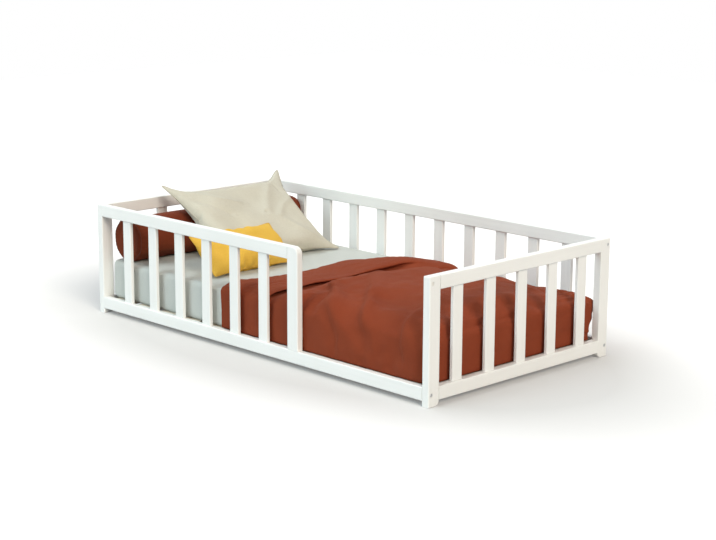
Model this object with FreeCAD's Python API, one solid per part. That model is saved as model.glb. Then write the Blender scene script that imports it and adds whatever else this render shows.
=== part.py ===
import FreeCAD, Part
import math
import os
from FreeCAD import Rotation, Vector

# Toddler floor bed of painted wood, with its bedding, in millimetres.
# X runs from the head panel (-X) to the foot panel (+X), Y from the open front side (-Y) to the back (+Y),
# and Z up. The origin is on the floor, under the middle of the bed.

# ---- overall sizes ----
BED_LENGTH = 1460.0
BED_WIDTH = 762.0
BED_HEIGHT = 354.0
FLOOR_GAP = 15.0            # clear height under the bottom rails

# ---- frame members ----
RAIL_HEIGHT = 38.0
POST_WIDTH = 41.0           # along Y
END_THICKNESS = 25.0        # head and foot panels, along X
SIDE_THICKNESS = 21.0       # side panels, along Y
SLAT_WIDTH = 38.0
SLAT_THICKNESS = 11.0
GUARD_POST_WIDTH = 44.0     # the upright that ends the front guard, along X
EDGE_ROUND = 3.0
SLAT_ROUND = 2.0
FOOT_ROUND = 14.0           # the posts' lower inner corners
GUARD_CORNER_ROUND = 21.0

# ---- slat layout ----
END_SLATS = 5
END_SLAT_MARGIN = 58.0      # post to the first slat
BACK_SLATS = 10
SIDE_SLAT_MARGIN = 104.0    # post to the first slat
GUARD_SLATS = 6             # the guard's end post stands at the next slat place
TENON = 10.0                # a slat's length inside each rail
MORTISE_CLEARANCE = 0.2
MORTISE_SPARE_DEPTH = 1.0

# ---- corner bolts, barrel nuts and dowels ----
BOLT_DIAMETER = 6.0
BOLT_HEAD_DIAMETER = 10.0
BOLT_HEAD_HEIGHT = 3.2
BOLT_HEAD_CHAMFER = 1.0
BOLT_SOCKET_ACROSS = 4.0
BOLT_SOCKET_DEPTH = 2.2
BOLT_HEAD_RECESS = 4.0      # depth of the counterbore in the post
BOLT_PAST_NUT = 3.0         # bolt end beyond the barrel nut
NUT_DIAMETER = 10.0
NUT_LENGTH = 13.0
NUT_SETBACK = 32.0          # rail end to the nut's axis
NUT_SLOT = 1.2
CORNER_DOWEL_DIAMETER = 6.0
CORNER_DOWEL_LENGTH = 30.0
CORNER_DOWEL_IN_POST = 12.0
CORNER_DOWEL_OFFSET = 12.0  # bolt axis to dowel axis
PANEL_DOWEL_DIAMETER = 8.0
PANEL_DOWEL_LENGTH = 40.0
PANEL_DOWEL_OFFSET = 9.0    # rail or post centre to each dowel of a pair
DOWEL_CHAMFER = 0.8
HOLE_CLEARANCE = 0.05       # on the radius, round each dowel, shank and screw
BORE_CLEARANCE = 0.25       # on the radius, round bolts in the posts and rails
HOLE_SPARE_DEPTH = 1.0
PLUG_LIP_DIAMETER = 9.6
PLUG_LIP_HEIGHT = 3.5       # in the counterbore
PLUG_LENGTH = 12.0          # in the bolt hole
PLUG_CHAMFER = 0.6

# ---- slatted base ----
LEDGER_WIDTH = 18.0
LEDGER_HEIGHT = 20.0
LEDGER_LIFT = 3.0           # above the underside of the bottom rail
LEDGER_NUT_ROOM = 8.0       # barrel nut to ledger end
LEDGER_SCREWS = 6
LEDGER_SCREW_MARGIN = 70.0
BOARD_COUNT = 12
BOARD_WIDTH = 68.0
BOARD_THICKNESS = 12.0
BOARD_END_GAP = 4.0         # board end to side rail
BOARD_MARGIN = 30.0         # end panel to the first board
STRAP_WIDTH = 25.0
STRAP_THICKNESS = 1.5
STRAP_INSET = 190.0         # side rail to the strap's middle
STAPLE_CROWN = 10.0
STAPLE_WIRE = 1.2
STAPLE_LEG = 8.0

# ---- wood screws ----
SCREW_HEAD_DIAMETER = 8.0
SCREW_SHANK_DIAMETER = 4.0
SCREW_TIP_LENGTH = 4.0
SCREW_TIP_RADIUS = 0.2
SCREW_RECESS_WIDTH = 0.9
SCREW_RECESS_DEPTH = 1.6
LEDGER_SCREW_LENGTH = 30.0
BOARD_SCREW_LENGTH = 25.0

# ---- bedding ----
REST_GAP = 0.3              # between soft pieces and what carries them
MATTRESS_END_ROOM = 10.0    # free length inside the frame
MATTRESS_SIDE_ROOM = 10.0   # free width on each side
MATTRESS_THICKNESS = 120.0
MATTRESS_CORNER_ROUND = 30.0
MATTRESS_EDGE_ROUND = 12.0
SHEET_THICKNESS = 0.8
SHEET_HEM = 70.0            # turned in under the mattress
BOLSTER_DIAMETER = 146.0
BOLSTER_FRONT_ROOM = 23.0   # guard to the bolster's end
BOLSTER_BACK_ROOM = 7.0     # back panel to its other end
BOLSTER_END_ROUND = 12.0
CROWN_RINGS = 6             # from a pillow's seam to each of its crowns
CROWN_TAPER = 0.9           # how far towards its middle the last of them lies
PILLOW_WIDTH = 460.0
PILLOW_HEIGHT = 378.0
PILLOW_THICKNESS = 84.0
PILLOW_EDGE = 14.0
PILLOW_LEAN = 34.5          # degrees above the sheet
PILLOW_YAW = 3.0            # degrees about Z, front end towards the head
PILLOW_BACK_ROOM = 68.0     # back panel to the pillow's end, before its yaw
CUSHION_WIDTH = 330.0
CUSHION_HEIGHT = 165.0
CUSHION_THICKNESS = 90.0
CUSHION_EDGE = 10.0
CUSHION_LEAN = 41.0
CUSHION_YAW = 0.0
CUSHION_FRONT_ROOM = 68.0   # guard to the small cushion's end
DUVET_PILLOW_ROOM = 100.0   # small cushion to the duvet's head edge, at the front
DUVET_SLANT = 90.0          # how much nearer the foot its head edge is at the back
DUVET_CROWN_RISE = 70.0     # the crown of its arch across the bed, above the sheet
DUVET_LONG_CROWN_RISE = 74.0  # the crown of its arch along the bed
DUVET_SIDE_RISE = 28.0      # its long edges above the sheet, before rounding
DUVET_HEAD_RISE = 24.0      # its head edge above the sheet, before rounding
DUVET_FOOT_RISE = 56.0      # its foot edge above the sheet, before rounding
DUVET_SIDE_ROUND = 50.0
DUVET_END_ROUND = 20.0
DUVET_TUCK_LIFT = 1.0       # its tucked edge above the base boards

# ---- tolerances of the modelling itself ----
PICK = 1.0                  # how near an edge lies to the face that it is picked by
EXACT = 1e-6
SETTLED = 0.01              # how near its rest gap a leaning pillow stops
SETTLE_STEPS = 60

X_AXIS = Vector(1, 0, 0)
Y_AXIS = Vector(0, 1, 0)
Z_AXIS = Vector(0, 0, 1)

# ---- places worked out from the sizes ----
OUT_X = BED_LENGTH / 2
OUT_Y = BED_WIDTH / 2
IN_X = OUT_X - END_THICKNESS
IN_Y = OUT_Y - SIDE_THICKNESS
POST_IN_Y = OUT_Y - POST_WIDTH
LOW_RAIL = (FLOOR_GAP, FLOOR_GAP + RAIL_HEIGHT)
TOP_RAIL = (BED_HEIGHT - RAIL_HEIGHT, BED_HEIGHT)
LOW_RAIL_MID = sum(LOW_RAIL) / 2
TOP_RAIL_MID = sum(TOP_RAIL) / 2
SIDE_MID = OUT_Y - SIDE_THICKNESS / 2
END_MID = OUT_X - END_THICKNESS / 2
LEDGER_TOP = FLOOR_GAP + LEDGER_LIFT + LEDGER_HEIGHT
LEDGER_END = IN_X - NUT_SETBACK - NUT_DIAMETER / 2 - LEDGER_NUT_ROOM
BOARD_TOP = LEDGER_TOP + BOARD_THICKNESS
SHEET_TOP = BOARD_TOP + REST_GAP + MATTRESS_THICKNESS + 2 * SHEET_THICKNESS

NODES = {}
HOLES = []


# ---- shape helpers ----
def box(low, high):
    """A box between two opposite corners, each an (x, y, z)."""
    size = [high[i] - low[i] for i in range(3)]
    return Part.makeBox(size[0], size[1], size[2], Vector(*low))


def is_along(edge, axis):
    """True for a straight edge that runs along the axis."""
    if len(edge.Vertexes) != 2:
        return False
    run = edge.Vertexes[1].Point.sub(edge.Vertexes[0].Point)
    return run.cross(axis).Length < EXACT and abs(run.Length - edge.Length) < EXACT


def board(low, high, axis, radius):
    """A wooden board whose long edges, along the axis, are rounded."""
    solid = box(low, high)
    return solid.makeFillet(radius, [edge for edge in solid.Edges if is_along(edge, axis)])


def grown(low, high, sideways, lengthways, axis):
    """The corners of a box grown across an axis and along it."""
    pad = [lengthways if abs(axis[i]) > 0.5 else sideways for i in range(3)]
    return [low[i] - pad[i] for i in range(3)], [high[i] + pad[i] for i in range(3)]


def turned(outline, place, direction):
    """A solid of revolution from (radius, height) points, its height axis turned to a direction."""
    points = [Vector(radius, 0, height) for radius, height in outline]
    points = [Vector(0, 0, outline[0][1])] + points + [Vector(0, 0, outline[-1][1])]
    face = Part.Face(Part.makePolygon(points + [points[0]]))
    solid = face.revolve(Vector(0, 0, 0), Z_AXIS, 360)
    return pointed(solid, place, direction)


def pointed(solid, place, direction):
    """A solid made on +Z at the origin, turned to a direction and moved to a place."""
    solid = solid.copy()
    turn = Rotation(Z_AXIS, direction)
    solid.Placement = FreeCAD.Placement(place, turn).multiply(solid.Placement)
    return solid


def rod(radius, length, place, direction):
    return Part.makeCylinder(radius, length, place, direction)


def less(solid, cutters):
    """The solid less each cutter that reaches it."""
    near = [cutter for cutter in cutters if cutter.BoundBox.intersect(solid.BoundBox)]
    return solid.cut(near) if near else solid


def drilled(solid):
    """The solid less each fixing's hole that reaches it."""
    return less(solid, HOLES)


def add(name, solids):
    """Files the solids of one node."""
    NODES[name] = solids if isinstance(solids, list) else [solids]


def spread(start, end, count):
    """Evenly spaced places from start to end."""
    return [start + (end - start) * i / (count - 1) for i in range(count)]


# ---- fixings ----
def dowel(middle, direction, diameter, length, in_first):
    """A chamfered dowel across a joint face at middle, with in_first of its length behind that face."""
    start = middle - direction * in_first
    radius = diameter / 2
    slim = radius - DOWEL_CHAMFER
    outline = [(slim, 0), (radius, DOWEL_CHAMFER), (radius, length - DOWEL_CHAMFER), (slim, length)]
    HOLES.append(rod(radius + HOLE_CLEARANCE, length + 2 * HOLE_SPARE_DEPTH,
                     start - direction * HOLE_SPARE_DEPTH, direction))
    return turned(outline, start, direction)


def hexagon(across, height, place):
    """A six-sided prism for a key socket, along +Z."""
    corner = across / math.sqrt(3)
    angles = [math.radians(60 * i) for i in range(7)]
    points = [place + Vector(corner * math.cos(a), corner * math.sin(a), 0) for a in angles]
    return Part.Face(Part.makePolygon(points)).extrude(Vector(0, 0, height))


def corner_bolt(end, y, z):
    """A connector bolt through a post into the end of a side rail, and its barrel nut across the rail."""
    out = X_AXIS * end
    face = Vector(end * OUT_X, y, z)
    seat = face - out * BOLT_HEAD_RECESS
    nut_middle = Vector(end * (IN_X - NUT_SETBACK), y, z)
    length = (seat - nut_middle).Length + NUT_DIAMETER / 2 + BOLT_PAST_NUT
    head, shank = BOLT_HEAD_DIAMETER / 2, BOLT_DIAMETER / 2
    outline = [(shank, -length), (shank, 0), (head, 0), (head, BOLT_HEAD_HEIGHT - BOLT_HEAD_CHAMFER),
               (head - BOLT_HEAD_CHAMFER, BOLT_HEAD_HEIGHT)]
    bolt = turned(outline, Vector(0, 0, 0), Z_AXIS)
    socket = Vector(0, 0, BOLT_HEAD_HEIGHT - BOLT_SOCKET_DEPTH)
    bolt = bolt.cut(hexagon(BOLT_SOCKET_ACROSS, BOLT_HEAD_HEIGHT, socket))
    bolt = pointed(bolt, seat, out)

    side = 1 if y > 0 else -1
    inward = Y_AXIS * -side
    nut_start = nut_middle - inward * (NUT_LENGTH / 2)
    nut = rod(NUT_DIAMETER / 2, NUT_LENGTH, nut_start, inward)
    nut = nut.cut(rod(shank + HOLE_CLEARANCE, 2 * NUT_DIAMETER, nut_middle - out * NUT_DIAMETER, out))
    slot_half = Vector(NUT_SLOT / 2, NUT_SLOT / 2, NUT_DIAMETER)
    slot_middle = nut_middle + inward * (NUT_LENGTH / 2)
    nut = nut.cut(box(slot_middle - slot_half, slot_middle + slot_half))

    HOLES.append(rod(head + BORE_CLEARANCE, BOLT_HEAD_RECESS + HOLE_SPARE_DEPTH, seat, out))
    HOLES.append(rod(shank + BORE_CLEARANCE, length + HOLE_SPARE_DEPTH, seat, out * -1))
    nut_hole = NUT_LENGTH / 2 + SIDE_THICKNESS / 2 + HOLE_SPARE_DEPTH
    HOLES.append(rod(NUT_DIAMETER / 2 + BORE_CLEARANCE / 2, nut_hole,
                     nut_start - inward * (HOLE_SPARE_DEPTH / 2), inward))
    return bolt, nut


def wood_screw(place, direction, length):
    """A countersunk cross-head screw whose head is flush at place and faces the direction."""
    head, shank = SCREW_HEAD_DIAMETER / 2, SCREW_SHANK_DIAMETER / 2
    cone = head - shank

    def outline(grow):
        return [(SCREW_TIP_RADIUS + grow, -length - grow), (shank + grow, -length + SCREW_TIP_LENGTH),
                (shank + grow, -cone - grow), (head + grow, 0)]

    screw = turned(outline(0), Vector(0, 0, 0), Z_AXIS)
    wide, thin = shank, SCREW_RECESS_WIDTH / 2
    for across, along in ((wide, thin), (thin, wide)):
        screw = screw.cut(box((-across, -along, -SCREW_RECESS_DEPTH), (across, along, SCREW_RECESS_DEPTH)))
    HOLES.append(turned(outline(HOLE_CLEARANCE), place, direction))
    return pointed(screw, place, direction)


def blanking_plug(end, y, z):
    """A plastic plug in a post's unused bolt hole. The hole is drilled as for a bolt."""
    out = X_AXIS * end
    seat = Vector(end * OUT_X, y, z) - out * BOLT_HEAD_RECESS
    lip, stem = PLUG_LIP_DIAMETER / 2, BOLT_DIAMETER / 2
    outline = [(stem - PLUG_CHAMFER, -PLUG_LENGTH), (stem, PLUG_CHAMFER - PLUG_LENGTH), (stem, 0), (lip, 0),
               (lip, PLUG_LIP_HEIGHT - PLUG_CHAMFER), (lip - PLUG_CHAMFER, PLUG_LIP_HEIGHT)]
    HOLES.append(rod(BOLT_HEAD_DIAMETER / 2 + BORE_CLEARANCE, BOLT_HEAD_RECESS + HOLE_SPARE_DEPTH, seat, out))
    HOLES.append(rod(stem + BORE_CLEARANCE, END_THICKNESS, seat, out * -1))
    return turned(outline, seat, out)


def corner_fixings():
    """Bolt, barrel nut and dowel at each end of each long rail, and a plug where no rail meets the post."""
    bolts, nuts, dowels = [], [], []
    for end in (-1, 1):
        for side in (-1, 1):
            y = side * SIDE_MID
            for z, inward in ((LOW_RAIL_MID, 1), (TOP_RAIL_MID, -1)):
                if end == 1 and side == -1 and z == TOP_RAIL_MID:
                    add("blanking_plug", blanking_plug(end, y, z))
                    continue
                bolt, nut = corner_bolt(end, y, z)
                bolts.append(bolt)
                nuts.append(nut)
                joint = Vector(end * IN_X, y, z + inward * CORNER_DOWEL_OFFSET)
                dowels.append(dowel(joint, X_AXIS * -end, CORNER_DOWEL_DIAMETER, CORNER_DOWEL_LENGTH,
                                    CORNER_DOWEL_IN_POST))
    add("corner_bolts", bolts)
    add("barrel_nuts", nuts)
    add("corner_dowels", dowels)


def panel_dowels():
    """Glued dowels in pairs: end rails to posts, and the guard's end post to its two rails."""
    joints = []
    for offset in (-PANEL_DOWEL_OFFSET, PANEL_DOWEL_OFFSET):
        for end in (-1, 1):
            for side in (-1, 1):
                for z in (LOW_RAIL_MID, TOP_RAIL_MID):
                    joints.append((Vector(end * END_MID, side * POST_IN_Y, z + offset), Y_AXIS * -side))
        foot = Vector(GUARD_POST_X[0] + GUARD_POST_WIDTH / 2 + offset, -SIDE_MID, LOW_RAIL[1])
        joints.append((foot, Z_AXIS))
        joints.append((Vector(GUARD_POST_X[0], -SIDE_MID, TOP_RAIL_MID + offset), X_AXIS))
    add("panel_dowels", [dowel(place, direction, PANEL_DOWEL_DIAMETER, PANEL_DOWEL_LENGTH,
                               PANEL_DOWEL_LENGTH / 2) for place, direction in joints])


# ---- slat places ----
def side_slat_lefts():
    """Left edges of the back slats. The guard's slats and end post stand opposite the first of them."""
    return spread(-IN_X + SIDE_SLAT_MARGIN, IN_X - SIDE_SLAT_MARGIN - SLAT_WIDTH, BACK_SLATS)


GUARD_POST_X = (side_slat_lefts()[GUARD_SLATS], side_slat_lefts()[GUARD_SLATS] + GUARD_POST_WIDTH)


def slat_corners(left, across_middle, axis):
    """The corners of an upright slat whose width runs along the axis."""
    half = SLAT_THICKNESS / 2
    bottom, top = LOW_RAIL[1] - TENON, TOP_RAIL[0] + TENON
    if axis == X_AXIS:
        return (left, across_middle - half, bottom), (left + SLAT_WIDTH, across_middle + half, top)
    return (across_middle - half, left, bottom), (across_middle + half, left + SLAT_WIDTH, top)


def slats_and_mortises(lefts, across_middle, axis):
    """The upright slats of one panel, and the pockets that they need in its rails."""
    corners = [slat_corners(left, across_middle, axis) for left in lefts]
    slats = [board(low, high, Z_AXIS, SLAT_ROUND) for low, high in corners]
    pockets = [board(*grown(low, high, MORTISE_CLEARANCE, MORTISE_SPARE_DEPTH, Z_AXIS), Z_AXIS,
                     SLAT_ROUND + MORTISE_CLEARANCE) for low, high in corners]
    return slats, pockets


# ---- panels ----
def post(end, side):
    """A corner post, its lower inner corner well rounded and its other edges eased."""
    x = sorted((end * OUT_X, end * IN_X))
    y = sorted((side * OUT_Y, side * POST_IN_Y))
    solid = box((x[0], y[0], 0), (x[1], y[1], BED_HEIGHT))
    foot = [edge for edge in solid.Edges if is_along(edge, X_AXIS) and edge.BoundBox.ZMax < PICK
            and abs(edge.BoundBox.YMax - side * POST_IN_Y) < PICK]
    solid = solid.makeFillet(FOOT_ROUND, foot)
    eased = [edge for edge in solid.Edges if edge.BoundBox.ZMax > FOOT_ROUND + PICK]
    return drilled(solid.makeFillet(EDGE_ROUND, eased))


def end_panel(name, end):
    """The nine pieces of the head or foot panel."""
    for side, side_name in ((-1, "front"), (1, "back")):
        add(f"{name}_{side_name}_post", post(end, side))
    first = -POST_IN_Y + END_SLAT_MARGIN
    lefts = spread(first, -first - SLAT_WIDTH, END_SLATS)
    slats, pockets = slats_and_mortises(lefts, end * END_MID, Y_AXIS)
    for i, slat in enumerate(slats):
        add(f"{name}_slat_{i + 1}", slat)
    x = sorted((end * OUT_X, end * IN_X))
    for rail_name, z in (("bottom", LOW_RAIL), ("top", TOP_RAIL)):
        rail = board((x[0], -POST_IN_Y, z[0]), (x[1], POST_IN_Y, z[1]), Y_AXIS, EDGE_ROUND)
        add(f"{name}_{rail_name}_rail", drilled(rail.cut(pockets)))


def side_rail(side, x_range, z_range, pockets):
    """A long rail of a side panel, flush with the outer face of the posts."""
    y = sorted((side * OUT_Y, side * IN_Y))
    rail = board((x_range[0], y[0], z_range[0]), (x_range[1], y[1], z_range[1]), X_AXIS, EDGE_ROUND)
    return drilled(less(rail, pockets))


def back_panel():
    """Two long rails and ten slats."""
    slats, pockets = slats_and_mortises(side_slat_lefts(), SIDE_MID, X_AXIS)
    for i, slat in enumerate(slats):
        add(f"back_slat_{i + 1}", slat)
    add("back_bottom_rail", side_rail(1, (-IN_X, IN_X), LOW_RAIL, pockets))
    add("back_top_rail", side_rail(1, (-IN_X, IN_X), TOP_RAIL, pockets))


def guard_post():
    """The upright that ends the guard, with the rounded corner over the entry."""
    solid = box((GUARD_POST_X[0], -OUT_Y, LOW_RAIL[1]), (GUARD_POST_X[1], -IN_Y, BED_HEIGHT))
    corner = [edge for edge in solid.Edges if is_along(edge, Y_AXIS)
              and edge.BoundBox.ZMin > BED_HEIGHT - PICK and edge.BoundBox.XMin > GUARD_POST_X[1] - PICK]
    solid = solid.makeFillet(GUARD_CORNER_ROUND, corner)
    eased = [edge for edge in solid.Edges if not is_along(edge, Y_AXIS)
             and edge.BoundBox.ZMax > LOW_RAIL[1] + PICK]
    return drilled(solid.makeFillet(EDGE_ROUND, eased))


def front_side():
    """The long bottom rail, and the guard over the head half."""
    slats, pockets = slats_and_mortises(side_slat_lefts()[:GUARD_SLATS], -SIDE_MID, X_AXIS)
    for i, slat in enumerate(slats):
        add(f"guard_slat_{i + 1}", slat)
    add("front_bottom_rail", side_rail(-1, (-IN_X, IN_X), LOW_RAIL, pockets))
    add("guard_top_rail", side_rail(-1, (-IN_X, GUARD_POST_X[0]), TOP_RAIL, pockets))
    add("guard_end_post", guard_post())


# ---- slatted base ----
def slatted_base():
    """Ledgers on the bottom rails, cross boards on the ledgers, and the straps that space the boards."""
    lefts = spread(-IN_X + BOARD_MARGIN, IN_X - BOARD_MARGIN - BOARD_WIDTH, BOARD_COUNT)
    half_length = IN_Y - BOARD_END_GAP
    boards = [board((left, -half_length, LEDGER_TOP), (left + BOARD_WIDTH, half_length, BOARD_TOP),
                    Y_AXIS, SLAT_ROUND) for left in lefts]
    board_screws = [wood_screw(Vector(left + BOARD_WIDTH / 2, side * (IN_Y - LEDGER_WIDTH / 2), BOARD_TOP),
                               Z_AXIS, BOARD_SCREW_LENGTH)
                    for left in (lefts[0], lefts[-1]) for side in (-1, 1)]
    add("board_screws", board_screws)
    for side, name in ((-1, "front"), (1, "back")):
        y = sorted((side * IN_Y, side * (IN_Y - LEDGER_WIDTH)))
        ledger = board((-LEDGER_END, y[0], LEDGER_TOP - LEDGER_HEIGHT), (LEDGER_END, y[1], LEDGER_TOP),
                       X_AXIS, SLAT_ROUND)
        add(f"{name}_ledger", drilled(ledger))

    straps, staples, staple_slots = [], [], []
    strap_end = IN_X - BOARD_MARGIN
    for side in (-1, 1):
        middle = side * (IN_Y - STRAP_INSET)
        strap = box((-strap_end, middle - STRAP_WIDTH / 2, LEDGER_TOP - STRAP_THICKNESS),
                    (strap_end, middle + STRAP_WIDTH / 2, LEDGER_TOP))
        for left in lefts:
            place = Vector(left + BOARD_WIDTH / 2, middle, LEDGER_TOP - STRAP_THICKNESS)
            staples.append(staple(place, 0))
            staple_slots.append(staple(place, HOLE_CLEARANCE))
        straps.append(strap.cut(staple_slots))
    add("webbing_straps", straps)
    add("strap_staples", staples)
    add("base_boards", [less(drilled(solid), staple_slots) for solid in boards])


def staple(place, grow):
    """A wire staple pushed up through a strap into a board, its crown across the strap's underside."""
    half, wire = STAPLE_CROWN / 2, STAPLE_WIRE / 2
    crown = box(place - Vector(wire + grow, half + grow, STAPLE_WIRE),
                place + Vector(wire + grow, half + grow, grow))
    for sign in (-1, 1):
        leg = place + Vector(0, sign * (half - wire), 0)
        crown = crown.fuse(box(leg - Vector(wire + grow, wire + grow, wire),
                               leg + Vector(wire + grow, wire + grow, STAPLE_LEG + grow)))
    return crown.removeSplitter()


def ledger_screws():
    """Screws through both ledgers into the bottom rails."""
    z = LEDGER_TOP - LEDGER_HEIGHT / 2
    reach = LEDGER_END - LEDGER_SCREW_MARGIN
    screws = [wood_screw(Vector(x, side * (IN_Y - LEDGER_WIDTH), z), Y_AXIS * -side, LEDGER_SCREW_LENGTH)
              for side in (-1, 1) for x in spread(-reach, reach, LEDGER_SCREWS)]
    add("ledger_screws", screws)


# ---- bedding ----
def rounded_slab(low, high, corner_round, edge_round):
    """A box with rounded upright corners and smaller rounds along its top and bottom."""
    solid = board(low, high, Z_AXIS, corner_round)
    rims = [edge for edge in solid.Edges if edge.BoundBox.ZLength < EXACT]
    return solid.makeFillet(edge_round, rims)


def mattress_and_sheet():
    """The mattress core, pushed up to the head panel, and the thin fitted sheet round it."""
    head = -IN_X + REST_GAP + SHEET_THICKNESS
    half_width = IN_Y - MATTRESS_SIDE_ROOM
    low = (head, -half_width, BOARD_TOP + REST_GAP + SHEET_THICKNESS)
    high = (head + 2 * IN_X - MATTRESS_END_ROOM, half_width, low[2] + MATTRESS_THICKNESS)
    core = rounded_slab(low, high, MATTRESS_CORNER_ROUND, MATTRESS_EDGE_ROUND)
    outer = rounded_slab(*grown(low, high, SHEET_THICKNESS, SHEET_THICKNESS, Z_AXIS),
                         MATTRESS_CORNER_ROUND + SHEET_THICKNESS, MATTRESS_EDGE_ROUND + SHEET_THICKNESS)
    opening = box((low[0] + SHEET_HEM, low[1] + SHEET_HEM, low[2] - 2 * SHEET_THICKNESS),
                  (high[0] - SHEET_HEM, high[1] - SHEET_HEM, low[2] + SHEET_THICKNESS))
    add("mattress", core)
    add("fitted_sheet", outer.cut([core, opening]))
    return outer


def bolster():
    """A roll across the head of the mattress, against the head panel."""
    radius = BOLSTER_DIAMETER / 2
    length = 2 * IN_Y - BOLSTER_FRONT_ROOM - BOLSTER_BACK_ROOM
    start = Vector(-IN_X + REST_GAP + radius, -IN_Y + BOLSTER_FRONT_ROOM, SHEET_TOP + REST_GAP + radius)
    roll = rod(radius, length, start, Y_AXIS)
    rims = [edge for edge in roll.Edges if edge.BoundBox.YLength < EXACT]
    return roll.makeFillet(BOLSTER_END_ROUND, rims)


def pillow_ring(width, height, thickness, edge, side, share):
    """One rectangular outline of a flat pillow: share is 0 at the seam and 1 at the crown of that side."""
    z = side * (edge + (thickness - edge) * (1 - (1 - share) ** 2)) / 2
    half = Vector(height, width, 0) * ((1 - CROWN_TAPER * share) / 2)
    corners = [Vector(half.x * x, half.y * y, z) for x, y in ((-1, -1), (1, -1), (1, 1), (-1, 1), (-1, -1))]
    return Part.makePolygon(corners)


def pillow_solid(width, height, thickness, edge):
    """A pillow lying flat: width along Y, height along X, thickest in the middle."""
    shares = spread(0, 1, CROWN_RINGS + 1)
    rings = [pillow_ring(width, height, thickness, edge, -1, share) for share in reversed(shares)]
    rings += [pillow_ring(width, height, thickness, edge, 1, share) for share in shares]
    return Part.makeLoft(rings, True, True)


def moved_until_near(solid, direction, other, gap):
    """Moves a solid along a unit direction until it is the gap away from the other."""
    for _ in range(SETTLE_STEPS):
        room = solid.distToShape(other)[0] - gap
        if room < SETTLED:
            break
        solid.translate(direction * room)
    return solid


def leaning(solid, lean, yaw, middle_y, back_rest):
    """Leans a flat pillow back towards the head, stands it on the sheet and slides it to what it leans on."""
    solid.rotate(Vector(0, 0, 0), Y_AXIS, lean)
    solid.rotate(Vector(0, 0, 0), Z_AXIS, -yaw)
    lowest = solid.optimalBoundingBox().ZMin
    solid.translate(Vector(IN_X, middle_y, SHEET_TOP + REST_GAP - lowest))
    return moved_until_near(solid, X_AXIS * -1, back_rest, REST_GAP)


def pillows():
    """The bolster, the pillow that leans on it and the small cushion that leans on the pillow."""
    roll = bolster()
    pillow = pillow_solid(PILLOW_WIDTH, PILLOW_HEIGHT, PILLOW_THICKNESS, PILLOW_EDGE)
    pillow_y = IN_Y - PILLOW_BACK_ROOM - PILLOW_WIDTH / 2
    pillow = leaning(pillow, PILLOW_LEAN, PILLOW_YAW, pillow_y, roll)
    cushion = pillow_solid(CUSHION_WIDTH, CUSHION_HEIGHT, CUSHION_THICKNESS, CUSHION_EDGE)
    cushion_y = CUSHION_FRONT_ROOM + CUSHION_WIDTH / 2 - IN_Y
    cushion = leaning(cushion, CUSHION_LEAN, CUSHION_YAW, cushion_y, pillow)
    add("bolster", roll)
    add("pillow", pillow)
    add("small_cushion", cushion)
    return cushion


def arched_block(start, end, wall_heights, crown_height, bottom, rounding, run):
    """A block with an arched top: its outline goes from start to end, and is drawn out along run."""
    low_end = Vector(end.x, end.y, bottom)
    low_start = Vector(start.x, start.y, bottom)
    high_start = Vector(start.x, start.y, wall_heights[0])
    high_end = Vector(end.x, end.y, wall_heights[1])
    middle = (start + end) / 2
    walls = [Part.makeLine(high_start, low_start), Part.makeLine(low_start, low_end),
             Part.makeLine(low_end, high_end)]
    arch = Part.Arc(high_end, Vector(middle.x, middle.y, crown_height), high_start).toShape()
    block = Part.Face(Part.Wire(walls + [arch])).extrude(run)
    rims = [edge for edge in block.Edges
            if is_along(edge, run) and edge.BoundBox.ZMin > min(wall_heights) - PICK]
    return block.makeFillet(rounding, rims)


def duvet(made_mattress, cushion):
    """A puffy cover over the foot half, tucked down between the mattress and the frame on three sides."""
    side, foot = IN_Y - REST_GAP, IN_X - REST_GAP
    bottom = BOARD_TOP + DUVET_TUCK_LIFT
    head = cushion.optimalBoundingBox().XMax + DUVET_PILLOW_ROOM
    crown, wall = SHEET_TOP + DUVET_CROWN_RISE, SHEET_TOP + DUVET_SIDE_RISE
    across = arched_block(Vector(head, -side, 0), Vector(head, side, 0), (wall, wall), crown, bottom,
                          DUVET_SIDE_ROUND, Vector(foot - head, 0, 0))
    foot_rim = [edge for edge in across.Edges if edge.BoundBox.XMin > foot - PICK
                and edge.BoundBox.ZMin > bottom + PICK and not is_along(edge, Z_AXIS)]
    across = across.makeFillet(DUVET_END_ROUND, foot_rim)
    along = arched_block(Vector(head, -side, 0), Vector(foot, -side, 0),
                         (SHEET_TOP + DUVET_HEAD_RISE, SHEET_TOP + DUVET_FOOT_RISE),
                         SHEET_TOP + DUVET_LONG_CROWN_RISE, bottom, DUVET_END_ROUND,
                         Vector(DUVET_SLANT, 2 * side, 0))
    room = made_mattress.BoundBox
    inside = box((head - PICK, room.YMin - REST_GAP, bottom - PICK),
                 (room.XMax + REST_GAP, room.YMax + REST_GAP, SHEET_TOP + REST_GAP))
    add("duvet", across.common(along).cut(inside))


# ---- the whole bed ----
corner_fixings()
panel_dowels()
ledger_screws()
end_panel("head", -1)
end_panel("foot", 1)
slatted_base()
back_panel()
front_side()
duvet(mattress_and_sheet(), pillows())

os.makedirs("parts", exist_ok=True)
for node_name, node_solids in NODES.items():
    shape = node_solids[0] if len(node_solids) == 1 else Part.makeCompound(node_solids)
    shape.exportStep(f"parts/{node_name}.step")
print(len(NODES), "nodes,", sum(len(solids) for solids in NODES.values()), "solids")
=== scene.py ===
import math

import bpy
import numpy as np
from mathutils import Matrix, Vector


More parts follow.
